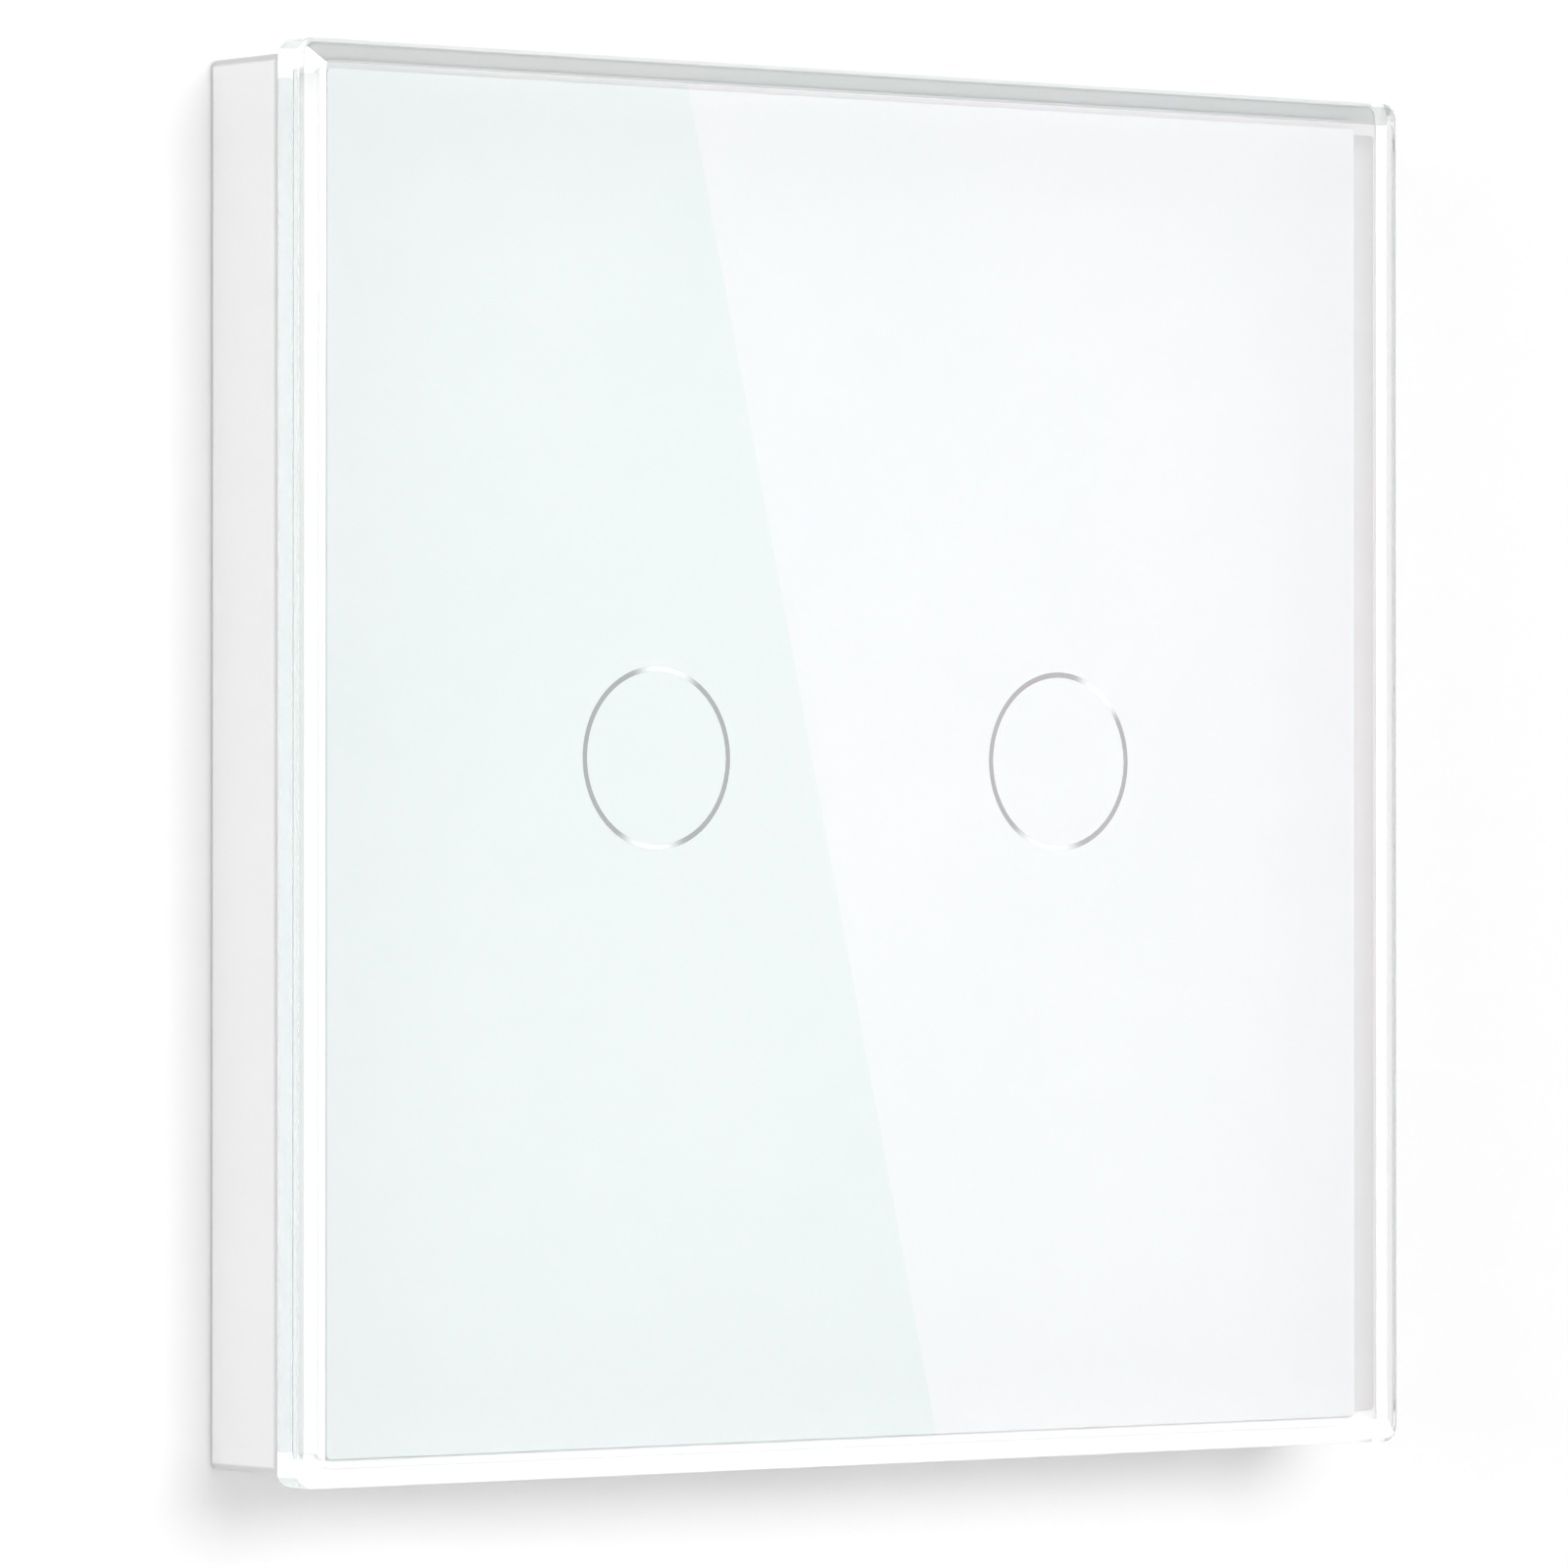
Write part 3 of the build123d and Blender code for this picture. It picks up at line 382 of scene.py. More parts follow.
def platedMetal(name, look):
    # plated metal shows the sheet's drawing lines through the plating, cloudy passivation, and bright rubbed edges
    mat, tree = newMaterial(name)
    place = add(tree, "TexCoord").outputs["Object"]
    drawn = add(tree, "Mapping", {"Scale": [perMm / v for v in look["lines"]]}, {"Vector": place})
    lines = add(tree, "TexNoise", {"Scale": 1.0, "Detail": 4.0, "Roughness": 0.7}, {"Vector": drawn.outputs[0]})
    cloud = add(tree, "TexNoise", {"Scale": perMm / look["cloud"], "Detail": 3.0, "Distortion": 0.6},
                {"Vector": place})
    soft, near = softened(tree, look["edge"])
    bump = add(tree, "Bump", {"Strength": 1.0, "Distance": look["lineHeight"] * mm},
               {"Height": lines.outputs[0], "Normal": soft})
    cloudSpan = metalGloss["cloudSpan"]
    spread = add(tree, "MapRange", {1: cloudSpan[0], 2: cloudSpan[1]}, {0: cloud.outputs[0]})
    tone = add(tree, "Mix", {"data_type": "RGBA", 6: toLinear(look["body"]), 7: toLinear(look["shade"])},
               {0: spread.outputs[0]})
    wearAndShade = add(tree, "Mix", {"data_type": "RGBA", 7: toLinear(look["wearAndShade"])}, {0: near, 6: tone.outputs[2]})
    smooth, dull = (look["roughness"] + v for v in metalGloss["spread"])
    gloss = add(tree, "MapRange", {1: noiseSpan[0], 2: noiseSpan[1], 3: smooth, 4: dull}, {0: lines.outputs[0]})
    surface(tree, {"Metallic": 1.0},
            {"Base Color": wearAndShade.outputs[2], "Roughness": gloss.outputs[0], "Normal": bump.outputs[0]})
    return mat


# opaque white ink, screen printed on the back of the glass and fired: flat and matt, with the screen's unevenness
printLook = {"body": "#F7FBFB", "shade": "#F5FAFA", "cloud": 9.0, "mesh": 0.35, "meshHeight": 0.002,
             "roughness": 0.6, "specular": 0.2}
mat, tree = newMaterial("ceramicInk_screenPrinted")
place = add(tree, "TexCoord").outputs["Object"]
cloud = add(tree, "TexNoise", {"Scale": perMm / printLook["cloud"], "Detail": 2.0}, {"Vector": place})
weave = add(tree, "TexNoise", {"Scale": perMm / printLook["mesh"], "Detail": 1.0}, {"Vector": place})
tone = add(tree, "Mix", {"data_type": "RGBA", 6: toLinear(printLook["body"]), 7: toLinear(printLook["shade"])},
           {0: cloud.outputs[0]})
bump = add(tree, "Bump", {"Strength": 1.0, "Distance": printLook["meshHeight"] * mm}, {"Height": weave.outputs[0]})
surface(tree, {"Roughness": printLook["roughness"], "Specular IOR Level": printLook["specular"]},
        {"Base Color": tone.outputs[2], "Normal": bump.outputs[0]})
dress(mat, "panel_print")

# silver ink, screen printed: each ring carries a painted reflection, bright in two places and grey between them, where
# flakes lying round the line would catch the light. Each lobe is where the middle of a bright place lies and how far it
# reaches, in degrees clockwise from the top
ringLook = {"centre": (15.75, 0.5), "dark": "#A0A2A1", "light": "#E6EBEB", "roughness": 0.42, "flake": 0.12,
            "speck": 0.12, "lobes": {"left": ((8.0, 29.0), (185.0, 29.0)), "right": ((37.5, 25.0), (190.0, 33.0))}}
mat, tree = newMaterial("silverInk_screenPrinted")
place = add(tree, "TexCoord").outputs["Object"]
apart = add(tree, "SeparateXYZ", None, {0: place})
onRight = add(tree, "Math", {"operation": "GREATER_THAN", 1: 0.0}, {0: apart.outputs[0]})
centreX, centreZ = (v * mm for v in ringLook["centre"])
middle = add(tree, "MapRange", {3: -centreX, 4: centreX}, {0: onRight.outputs[0]})
dx = add(tree, "Math", {"operation": "SUBTRACT"}, {0: apart.outputs[0], 1: middle.outputs[0]})
dz = add(tree, "Math", {"operation": "SUBTRACT", 1: centreZ}, {0: apart.outputs[2]})
outward = add(tree, "CombineXYZ", None, {0: dx.outputs[0], 2: dz.outputs[0]})
spoke = add(tree, "VectorMath", {"operation": "NORMALIZE"}, {0: outward.outputs[0]})
rings = []
# each ring's painted reflection: two bright lobes in its colour
for ring in ("left", "right"):
    bright = []
    for angle, reach in ringLook["lobes"][ring]:
        a = math.radians(angle)
        toward = add(tree, "VectorMath", {"operation": "DOT_PRODUCT", 1: (math.sin(a), 0, math.cos(a))},
                     {0: spoke.outputs[0]})
        lobe = add(tree, "MapRange", {"interpolation_type": "SMOOTHSTEP", 1: math.cos(math.radians(reach)), 2: 1.0},
                   {0: toward.outputs["Value"]})
        bright.append(lobe.outputs[0])
    rings.append(add(tree, "Math", {"operation": "MAXIMUM"}, {0: bright[0], 1: bright[1]}).outputs[0])
paintedGlint = add(tree, "Mix", {"data_type": "FLOAT"}, {0: onRight.outputs[0], 2: rings[0], 3: rings[1]})
flake = add(tree, "TexNoise", {"Scale": perMm / ringLook["flake"], "Detail": 2.0}, {"Vector": place})
speck = add(tree, "Math", {"operation": "MULTIPLY_ADD", 1: ringLook["speck"], 2: -ringLook["speck"] / 2},
            {0: flake.outputs[0]})
level = add(tree, "Math", {"operation": "ADD"}, {0: paintedGlint.outputs[0], 1: speck.outputs[0]})
tone = add(tree, "Mix", {"data_type": "RGBA", 6: toLinear(ringLook["dark"]), 7: toLinear(ringLook["light"])},
           {0: level.outputs[0]})
surface(tree, {"Metallic": 1.0, "Roughness": ringLook["roughness"]}, {"Base Color": tone.outputs[2]})
dress(mat, "ring_marks")

# double-sided acrylic foam tape, cut: closed cells too small to count, an even dull grey, faintly darker in each cell's
# hollow as painted shade
tapeLook = {"body": "#D2D3D2", "shade": "#CFD0CE", "cell": 0.12, "cellHeight": 0.004, "roughness": 0.85}
mat, tree = newMaterial("acrylicFoamTape_cut")
place = add(tree, "TexCoord").outputs["Object"]
cells = add(tree, "TexVoronoi", {"Scale": perMm / tapeLook["cell"]}, {"Vector": place})
# the shade tone is painted shade in each cell's hollow
tone = add(tree, "Mix", {"data_type": "RGBA", 6: toLinear(tapeLook["shade"]), 7: toLinear(tapeLook["body"])},
           {0: cells.outputs["Distance"]})
bump = add(tree, "Bump", {"Strength": 1.0, "Distance": tapeLook["cellHeight"] * mm},
           {"Height": cells.outputs["Distance"]})
surface(tree, {"Roughness": tapeLook["roughness"]}, {"Base Color": tone.outputs[2], "Normal": bump.outputs[0]})
dress(mat, "panel_adhesive")

# ABS, moulded pale grey: an even satin side; its darker edge tone is painted shade along its edges, in the line under
# the glass's overhang and along its four corners
frameLook = {"body": "#F4F4F4", "shade": "#F2F2F2", "wearAndShade": "#D2D2D2", "grain": 0.16, "grainHeight": 0.006,
             "cloud": 14.0, "edge": 0.28, "roughness": 0.42, "ior": 1.53}
# where the frame's painted shade lies, in mm: behind the frame's front for the first two, short of its sharp corner for
# the last; the seam is painted shadow under the glass's overhang, the corner painted shade along the frame's four
# corners
paintedShade = {"plainTo": (0.3, 0.6), "seamTo": (0.75, 1.05), "corner": (0.48, 0.36)}
low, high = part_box("panel_frame")
frameFront, cornerSum = low[1], high[0] + high[2]


def frameShadeMask(tree, place, near):
    # painted shade: the seam under the glass's overhang and the four corners along the depth take the darker edge tone
    # as the edges do, and the front keeps its own
    deep = add(tree, "SeparateXYZ", None, {0: place}).outputs[1]
    (plain0, plain1), (seam0, seam1) = ([frameFront + v * mm for v in paintedShade[k]] for k in ("plainTo", "seamTo"))
    seam = add(tree, "MapRange", {1: seam0, 2: seam1, 3: 1.0, 4: 0.0}, {0: deep})
    behindFront = add(tree, "MapRange", {1: plain0, 2: plain1, 3: 0.0, 4: 1.0}, {0: deep})
    square = add(tree, "VectorMath", {"operation": "ABSOLUTE"}, {0: place})
    reach = add(tree, "VectorMath", {"operation": "DOT_PRODUCT", 1: (1, 0, 1)}, {0: square.outputs[0]})
    corner0, corner1 = (cornerSum - v * mm for v in paintedShade["corner"])
    corner = add(tree, "MapRange", {1: corner0, 2: corner1, 3: 0.0, 4: 1.0}, {0: reach.outputs["Value"]})
    most = add(tree, "Math", {"operation": "MAXIMUM"}, {0: seam.outputs[0], 1: near})
    most = add(tree, "Math", {"operation": "MAXIMUM"}, {0: most.outputs[0], 1: corner.outputs[0]})
    return add(tree, "Math", {"operation": "MULTIPLY"}, {0: most.outputs[0], 1: behindFront.outputs[0]}).outputs[0]


dress(mouldedPlastic("absFrame_moulded", frameLook, frameShadeMask), "panel_frame")

# ABS, moulded: the cover faces the wall side of the panel and has a coarser, duller grain than the frame
coverLook = {"body": "#F0F0EE", "shade": "#ECECE9", "wearAndShade": "#F5F5F3", "grain": 0.22, "grainHeight": 0.012,
             "cloud": 18.0, "edge": 0.2, "roughness": 0.5, "ior": 1.53}
dress(mouldedPlastic("absCover_moulded", coverLook), "module_cover")

# glass-filled polyamide, moulded: warmer and duller than ABS, with clouds where the melt flowed
housingLook = {"body": "#EAE9E4", "shade": "#E1DFD8", "wearAndShade": "#F2F1EC", "grain": 0.3, "grainHeight": 0.02,
               "cloud": 7.0, "edge": 0.2, "roughness": 0.52, "ior": 1.53}
dress(mouldedPlastic("polyamideHousing_moulded", housingLook), "rear_housing", "terminal_block", "wire_guide")

# PBT, moulded: the relay's blue case is smooth and fairly glossy, its black base duller with scuffed edges
relayCaseLook = {"body": "#2A5C9E", "shade": "#255491", "wearAndShade": "#3C70B4", "grain": 0.2, "grainHeight": 0.006,
                 "cloud": 9.0, "edge": 0.15, "roughness": 0.3, "ior": 1.55}
relayBaseLook = {"body": "#2B2B2D", "shade": "#232325", "wearAndShade": "#3A3A3D", "grain": 0.2, "grainHeight": 0.01,
                 "cloud": 6.0, "edge": 0.1, "roughness": 0.45, "ior": 1.55}
dress(mouldedPlastic("pbtRelayCase_moulded", relayCaseLook), "relay_left_case", "relay_right_case")
dress(mouldedPlastic("pbtRelayBase_moulded", relayBaseLook), "relay_left_base", "relay_right_base")

# cast epoxy: the lamp's cream body is glossy and a little cloudy
lampLook = {"body": "#F1ECD8", "shade": "#EBE3C6", "wearAndShade": "#F6F2E4", "grain": 0.1, "grainHeight": 0.002,
            "cloud": 0.8, "edge": 0.05, "roughness": 0.2, "ior": 1.54}
dress(mouldedPlastic("epoxyLampBody_moulded", lampLook), "status_leds")

# phenolic resin, moulded: brown black with a hard gloss
fuseLook = {"body": "#2A2724", "shade": "#221F1D", "wearAndShade": "#3B3733", "grain": 0.25, "grainHeight": 0.006,
            "cloud": 4.0, "edge": 0.15, "roughness": 0.3, "ior": 1.6}
dress(mouldedPlastic("phenolicFuse_moulded", fuseLook), "fuse")

# polyester box, moulded and filled with resin: even mustard yellow, satin
capacitorLook = {"body": "#D8B24A", "shade": "#CFA63D", "wearAndShade": "#E3C56E", "grain": 0.2, "grainHeight": 0.006,
                 "cloud": 6.0, "edge": 0.2, "roughness": 0.32, "ior": 1.55}
dress(mouldedPlastic("filmCapacitorBox_moulded", capacitorLook), "film_capacitor")

# epoxy, dipped: a thick blue skin, glossy and dimpled, round at its edges
varistorLook = {"body": "#2B5A9A", "shade": "#204A86", "wearAndShade": "#3567AA", "grain": 1.2, "grainHeight": 0.05,
                "cloud": 3.0, "edge": 0.6, "roughness": 0.22, "ior": 1.56}
dress(mouldedPlastic("epoxyVaristor_dipped", varistorLook), "varistor")

# manganese zinc ferrite, sintered: dark grey and granular, with a dull sheen
ferriteLook = {"body": "#3A3A3C", "shade": "#2C2C2E", "wearAndShade": "#4A4A4C", "grain": 0.18, "grainHeight": 0.02,
               "cloud": 2.5, "edge": 0.2, "roughness": 0.6, "ior": 2.0}
dress(mouldedPlastic("manganeseZincFerrite_sintered", ferriteLook), "transformer_core")

# polyester film, die cut: dark, smooth and faintly shiny
sheetLook = {"body": "#3E3E42", "shade": "#37373B", "wearAndShade": "#4B4B50", "grain": 0.5, "grainHeight": 0.004,
             "cloud": 12.0, "edge": 0.1, "roughness": 0.35, "ior": 1.6}
dress(mouldedPlastic("polyesterFilm_dieCut", sheetLook), "insulating_sheet")

# steel, pressed from sheet and zinc plated: fine lines one way, pale blue grey clouds, brighter edges
bracketLook = {"body": "#C9CBCE", "shade": "#B7BBC3", "wearAndShade": "#DADBDC", "lines": (6.0, 6.0, 0.12),
               "lineHeight": 0.003, "cloud": 5.0, "edge": 0.15, "roughness": 0.36}
dress(platedMetal("zincPlatedSteel_pressed", bracketLook), "mounting_bracket")

terminals = range(1, 5)

# steel, cold headed and zinc plated: smoother and brighter than the sheet
screwLook = {"body": "#C6C7CA", "shade": "#B2B5BC", "wearAndShade": "#DCDDDE", "lines": (0.5, 0.08, 0.5),
             "lineHeight": 0.003, "cloud": 1.4, "edge": 0.1, "roughness": 0.3}
dress(platedMetal("zincPlatedSteel_coldHeaded", screwLook), "touch_board_screws", "housing_screws",
      "power_board_screws", *["terminal_screw_%d" % k for k in terminals])

# steel, folded and zinc plated: lines run round the cage
cageLook = {"body": "#C4C6C9", "shade": "#AEB2B8", "wearAndShade": "#DDDEDF", "lines": (3.0, 0.1, 3.0),
            "lineHeight": 0.004, "cloud": 2.0, "edge": 0.15, "roughness": 0.34}
dress(platedMetal("zincPlatedSteel_folded", cageLook), *["terminal_cage_%d" % k for k in terminals])

# brass, stamped and thinly tinned: warm where the tin is thin, greyer in clouds
barLook = {"body": "#D6B46A", "shade": "#C9BE9B", "wearAndShade": "#E2C987", "lines": (0.15, 4.0, 4.0),
           "lineHeight": 0.004, "cloud": 2.2, "edge": 0.12, "roughness": 0.3}
dress(platedMetal("tinnedBrass_stamped", barLook), *["terminal_bar_%d" % k for k in terminals])

# soft iron, stamped and nickel plated: a warm grey with straight lines
ironLook = {"body": "#C2BFB8", "shade": "#B0ADA7", "wearAndShade": "#D6D4CE", "lines": (0.12, 3.0, 3.0),
            "lineHeight": 0.004, "cloud": 2.0, "edge": 0.12, "roughness": 0.32}
dress(platedMetal("nickelPlatedIron_stamped", ironLook),
      "relay_left_yoke", "relay_right_yoke", "relay_left_armature", "relay_right_armature")

# foam rubber filled with carbon, cut: open cells, dead black, their hollows darker than their walls as painted shade
foamLook = {"wall": "#3A3A3C", "hole": "#161617", "cell": 0.55, "cellBlend": 0.3, "cellHeight": 0.18, "roughness": 0.9}
mat, tree = newMaterial("carbonFoam_cut")
place = add(tree, "TexCoord").outputs["Object"]
cells = add(tree, "TexVoronoi", {"feature": "SMOOTH_F1", "Scale": perMm / foamLook["cell"],
                                 "Smoothness": foamLook["cellBlend"]}, {"Vector": place})
# the hole tone is painted shade in the cells' hollows
tone = add(tree, "Mix", {"data_type": "RGBA", 6: toLinear(foamLook["hole"]), 7: toLinear(foamLook["wall"])},
           {0: cells.outputs["Distance"]})
bump = add(tree, "Bump", {"Strength": 1.0, "Distance": foamLook["cellHeight"] * mm},
           {"Height": cells.outputs["Distance"]})
surface(tree, {"Roughness": foamLook["roughness"]}, {"Base Color": tone.outputs[2], "Normal": bump.outputs[0]})
dress(mat, "touch_electrodes")

# clear acrylic, moulded: glossy, with faint flow lines
guideLook = {"tint": "#F4F8FA", "ior": 1.49, "roughness": 0.06, "flow": 1.5, "flowHeight": 0.01}
mat, tree = newMaterial("acrylicGuide_moulded")
place = add(tree, "TexCoord").outputs["Object"]
flow = add(tree, "TexNoise", {"Scale": perMm / guideLook["flow"], "Detail": 1.0}, {"Vector": place})
tint = add(tree, "Mix", {"data_type": "RGBA", 6: toLinear(guideLook["tint"]), 7: white}, {0: flow.outputs[0]})
bump = add(tree, "Bump", {"Strength": 1.0, "Distance": guideLook["flowHeight"] * mm}, {"Height": flow.outputs[0]})
clear = add(tree, "BsdfPrincipled",
            {"IOR": guideLook["ior"], "Roughness": guideLook["roughness"], "Transmission Weight": 1.0},
            {"Base Color": tint.outputs[2], "Normal": bump.outputs[0]})
shadow = add(tree, "LightPath").outputs["Is Shadow Ray"]
mix = add(tree, "MixShader", None, {0: shadow, 1: clear.outputs[0], 2: add(tree, "BsdfTransparent").outputs[0]})
add(tree, "OutputMaterial", None, {"Surface": mix.outputs[0]})
dress(mat, "light_guides")

# glass-fibre laminate under green solder mask: the weave just shows, tracks stand slightly raised and paler,
# joints are tinned. Tracks run one way within a block of the board, and some of the grid's places hold a pad
boardLook = {"mask": "#1F6B3C", "deep": "#185A31", "track": "#2E8450", "tin": "#C9CBCB", "weave": 0.9, "pitch": 2.54,
             "block": 7.62, "trackWidth": 0.35, "trackSoft": (-0.03, 0.01), "padRadius": 0.7, "padShare": 0.12,
             "weaveHeight": 0.008, "trackHeight": 0.04, "roughness": 0.28, "coat": 0.3, "coatRoughness": 0.15}
mat, tree = newMaterial("fibreLaminate_solderMasked")
place = add(tree, "TexCoord").outputs["Object"]
waves = []
for spacing in (boardLook["weave"], boardLook["pitch"]):
    for direction in ("X", "Z"):
        wave = add(tree, "TexWave", {"bands_direction": direction, "Scale": wavePerMm / spacing}, {"Vector": place})
        waves.append(wave.outputs["Fac"])
across, upward, lineX, lineZ = waves
weave = add(tree, "Math", {"operation": "MULTIPLY"}, {0: across, 1: upward})
block = add(tree, "VectorMath", {"operation": "SNAP", 1: [boardLook["block"] * mm] * 3}, {0: place})
pick = add(tree, "TexWhiteNoise", None, {"Vector": block.outputs[0]})
turn = add(tree, "Math", {"operation": "GREATER_THAN", 1: 0.5}, {0: pick.outputs["Value"]})
band = add(tree, "Mix", {"data_type": "FLOAT"}, {0: turn.outputs[0], 2: lineX, 3: lineZ})
trackEdge = 0.5 + 0.5 * math.cos(math.pi * boardLook["trackWidth"] / boardLook["pitch"])
start, end = (trackEdge + v for v in boardLook["trackSoft"])
track = add(tree, "MapRange", {1: start, 2: end}, {0: band.outputs[0]})
cell = add(tree, "VectorMath", {"operation": "SNAP", 1: [boardLook["pitch"] * mm] * 3}, {0: place})
padPick = add(tree, "TexWhiteNoise", None, {"Vector": cell.outputs[0]})
inCell = add(tree, "VectorMath", {"operation": "SUBTRACT"}, {0: place, 1: cell.outputs[0]})
halfPitch = boardLook["pitch"] / 2 * mm
fromMiddle = add(tree, "VectorMath", {"operation": "SUBTRACT", 1: (halfPitch, 0, halfPitch)}, {0: inCell.outputs[0]})
flat = add(tree, "VectorMath", {"operation": "MULTIPLY", 1: (1, 0, 1)}, {0: fromMiddle.outputs[0]})
reach = add(tree, "VectorMath", {"operation": "LENGTH"}, {0: flat.outputs[0]})
inside = add(tree, "Math", {"operation": "LESS_THAN", 1: boardLook["padRadius"] * mm}, {0: reach.outputs["Value"]})
chosen = add(tree, "Math", {"operation": "LESS_THAN", 1: boardLook["padShare"]}, {0: padPick.outputs["Value"]})
pad = add(tree, "Math", {"operation": "MULTIPLY"}, {0: inside.outputs[0], 1: chosen.outputs[0]})
green = add(tree, "Mix", {"data_type": "RGBA", 6: toLinear(boardLook["deep"]), 7: toLinear(boardLook["mask"])},
            {0: weave.outputs[0]})
green = add(tree, "Mix", {"data_type": "RGBA", 7: toLinear(boardLook["track"])},
            {0: track.outputs[0], 6: green.outputs[2]})
tone = add(tree, "Mix", {"data_type": "RGBA", 7: toLinear(boardLook["tin"])}, {0: pad.outputs[0], 6: green.outputs[2]})
woven = add(tree, "Bump", {"Strength": 1.0, "Distance": boardLook["weaveHeight"] * mm}, {"Height": weave.outputs[0]})
raised = add(tree, "Math", {"operation": "MAXIMUM"}, {0: track.outputs[0], 1: pad.outputs[0]})
bump = add(tree, "Bump", {"Strength": 1.0, "Distance": boardLook["trackHeight"] * mm},
           {"Height": raised.outputs[0], "Normal": woven.outputs[0]})
surface(tree, {"Roughness": boardLook["roughness"], "Coat Weight": boardLook["coat"],
               "Coat Roughness": boardLook["coatRoughness"]},
        {"Base Color": tone.outputs[2], "Metallic": pad.outputs[0], "Normal": bump.outputs[0]})
dress(mat, "touch_board", "power_board")

# enamelled copper wire, wound in close turns: a ridge for each turn, warm and glossy, with painted shade in the dark
# grooves between turns.
# The real wire is 0.1 mm, drawn coarser to show
coilLook = {"wire": "#C8743A", "gap": "#6E3515", "turn": 0.3, "ridge": 0.06, "metal": 0.85, "roughness": 0.25,
            "coat": 0.4, "coatRoughness": 0.1}
mat, tree = newMaterial("copperWire_enamelled")
place = add(tree, "TexCoord").outputs["Object"]
turns = add(tree, "TexWave", {"bands_direction": "Y", "Scale": wavePerMm / coilLook["turn"], "Distortion": 0.4,
                              "Detail": 1.0}, {"Vector": place})
# the gap tone is painted shade in the grooves between turns
tone = add(tree, "Mix", {"data_type": "RGBA", 6: toLinear(coilLook["gap"]), 7: toLinear(coilLook["wire"])},
           {0: turns.outputs["Fac"]})
bump = add(tree, "Bump", {"Strength": 1.0, "Distance": coilLook["ridge"] * mm}, {"Height": turns.outputs["Fac"]})
surface(tree, {"Metallic": coilLook["metal"], "Roughness": coilLook["roughness"], "Coat Weight": coilLook["coat"],
               "Coat Roughness": coilLook["coatRoughness"]},
        {"Base Color": tone.outputs[2], "Normal": bump.outputs[0]})
dress(mat, "relay_left_coil", "relay_right_coil", "transformer_coil")


def maskedMaterial(name, look, mask):
    # two finishes on one solid: mask(tree, place) gives 1 where the second one shows
    mat, tree = newMaterial(name)
    place = add(tree, "TexCoord").outputs["Object"]
    part = mask(tree, place)
    grain = add(tree, "TexNoise", {"Scale": perMm / look["grain"], "Detail": 3.0}, {"Vector": place})
    first, second = (add(tree, "Mix", {"data_type": "RGBA", 6: toLinear(pair[0]), 7: toLinear(pair[1])},
                         {0: grain.outputs[0]}) for pair in (look["body"], look["other"]))
    tone = add(tree, "Mix", {"data_type": "RGBA"}, {0: part, 6: first.outputs[2], 7: second.outputs[2]})
    metal = add(tree, "MapRange", {3: look["metal"][0], 4: look["metal"][1]}, {0: part})
    rough = add(tree, "MapRange", {3: look["roughness"][0], 4: look["roughness"][1]}, {0: part})
    soft = softened(tree, look["edge"])[0]
    bump = add(tree, "Bump", {"Strength": 1.0, "Distance": look["grainHeight"] * mm},
               {"Height": grain.outputs[0], "Normal": soft})
    surface(tree, {}, {"Base Color": tone.outputs[2], "Metallic": metal.outputs[0],
                       "Roughness": rough.outputs[0], "Normal": bump.outputs[0]})
    return mat


def beyond(axis, value):  # mask: 1 past that place along one axis
    def mask(tree, place):
        part = add(tree, "SeparateXYZ", None, {0: place}).outputs[axis]
        return add(tree, "Math", {"operation": "GREATER_THAN", 1: value}, {0: part}).outputs[0]
    return mask


def outside(axis, middle, half):  # mask: 1 further than half from the middle along one axis
    def mask(tree, place):
        part = add(tree, "SeparateXYZ", None, {0: place}).outputs[axis]
        off = add(tree, "Math", {"operation": "SUBTRACT", 1: middle}, {0: part})
        size = add(tree, "Math", {"operation": "ABSOLUTE"}, {0: off.outputs[0]})
        return add(tree, "Math", {"operation": "GREATER_THAN", 1: half}, {0: size.outputs[0]}).outputs[0]
    return mask


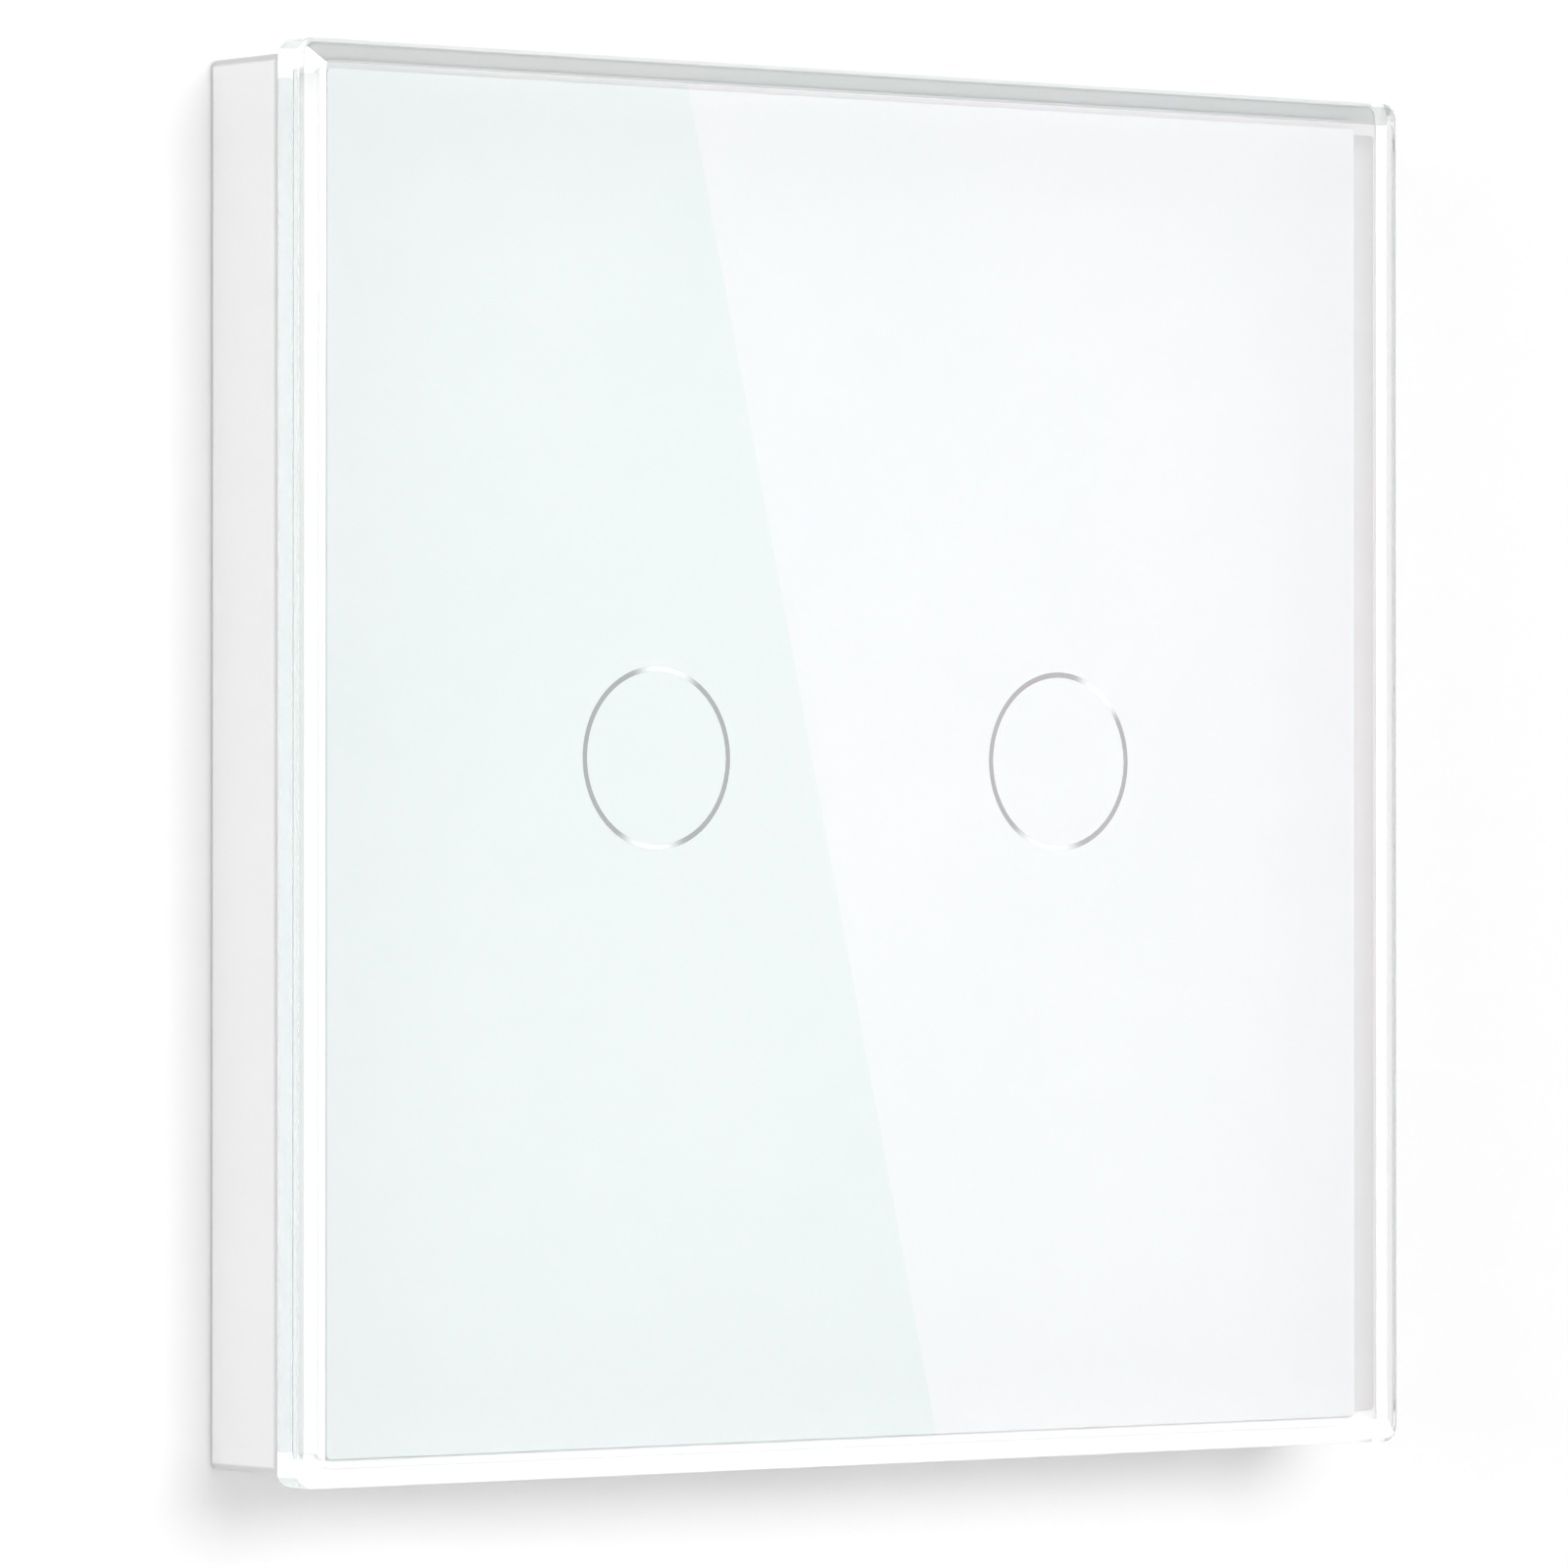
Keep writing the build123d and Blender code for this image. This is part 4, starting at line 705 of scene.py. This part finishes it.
# black epoxy, transfer moulded: matt, with tinned leads past the body's ends
chipLook = {"body": ("#262628", "#1E1E20"), "other": ("#C9CACB", "#B5B7B9"), "metal": (0.0, 1.0),
            "roughness": (0.55, 0.3), "grain": 0.15, "grainHeight": 0.01, "edge": 0.08,
            "lead": {"touch_chip": 0.99, "bridge_rectifier": -1.0}}      # a lead below zero: no leads to tin
for name, lead in chipLook["lead"].items():
    low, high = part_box(name)
    body = outside(2, (low[2] + high[2]) / 2, (high[2] - low[2]) / 2 - lead * mm)
    dress(maskedMaterial("epoxyChip_moulded_" + name, chipLook, body), name)

# black glass-filled nylon strip, moulded: satin, with gold-flashed pins behind it
stripLook = {"body": ("#2A2A2C", "#212123"), "other": ("#D9B65A", "#C79F42"), "metal": (0.0, 1.0),
             "roughness": (0.35, 0.22), "grain": 0.2, "grainHeight": 0.008, "edge": 0.1,
             "strip": {"pin_header": 2.02, "pin_socket": 100.0}}      # the socket is nylon all through
for name, strip in stripLook["strip"].items():
    pins = beyond(1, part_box(name)[0][1] + strip * mm)
    dress(maskedMaterial("nylonStrip_moulded_" + name, stripLook, pins), name)

# phosphor bronze spring blade, stamped: warm and bright, with a silver contact riveted to its tip
bladeLook = {"body": ("#C98B52", "#B97A44"), "other": ("#DCDDDD", "#CBCCCC"), "metal": (1.0, 1.0),
             "roughness": (0.3, 0.25), "grain": 0.3, "grainHeight": 0.003, "edge": 0.08, "button": 0.31}
for name in ("relay_left_contact", "relay_right_contact"):
    button = beyond(1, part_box(name)[1][1] - bladeLook["button"] * mm)
    dress(maskedMaterial("springBronze_" + name, bladeLook, button), name)

# aluminium can in a shrunk dark sleeve: the sleeve ends just over the rim and leaves the bare top
canLook = {"body": ("#23262E", "#1C1F26"), "other": ("#D3D5D6", "#C4C6C8"), "metal": (0.0, 1.0),
           "roughness": (0.3, 0.32), "grain": 0.4, "grainHeight": 0.005, "edge": 0.15, "bareTop": 0.12}
bareTop = beyond(1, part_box("electrolytic_capacitor")[1][1] - canLook["bareTop"] * mm)
dress(maskedMaterial("aluminiumCan_sleeved", canLook, bareTop), "electrolytic_capacitor")
print("materials made:", len(bpy.data.materials))

low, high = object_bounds()
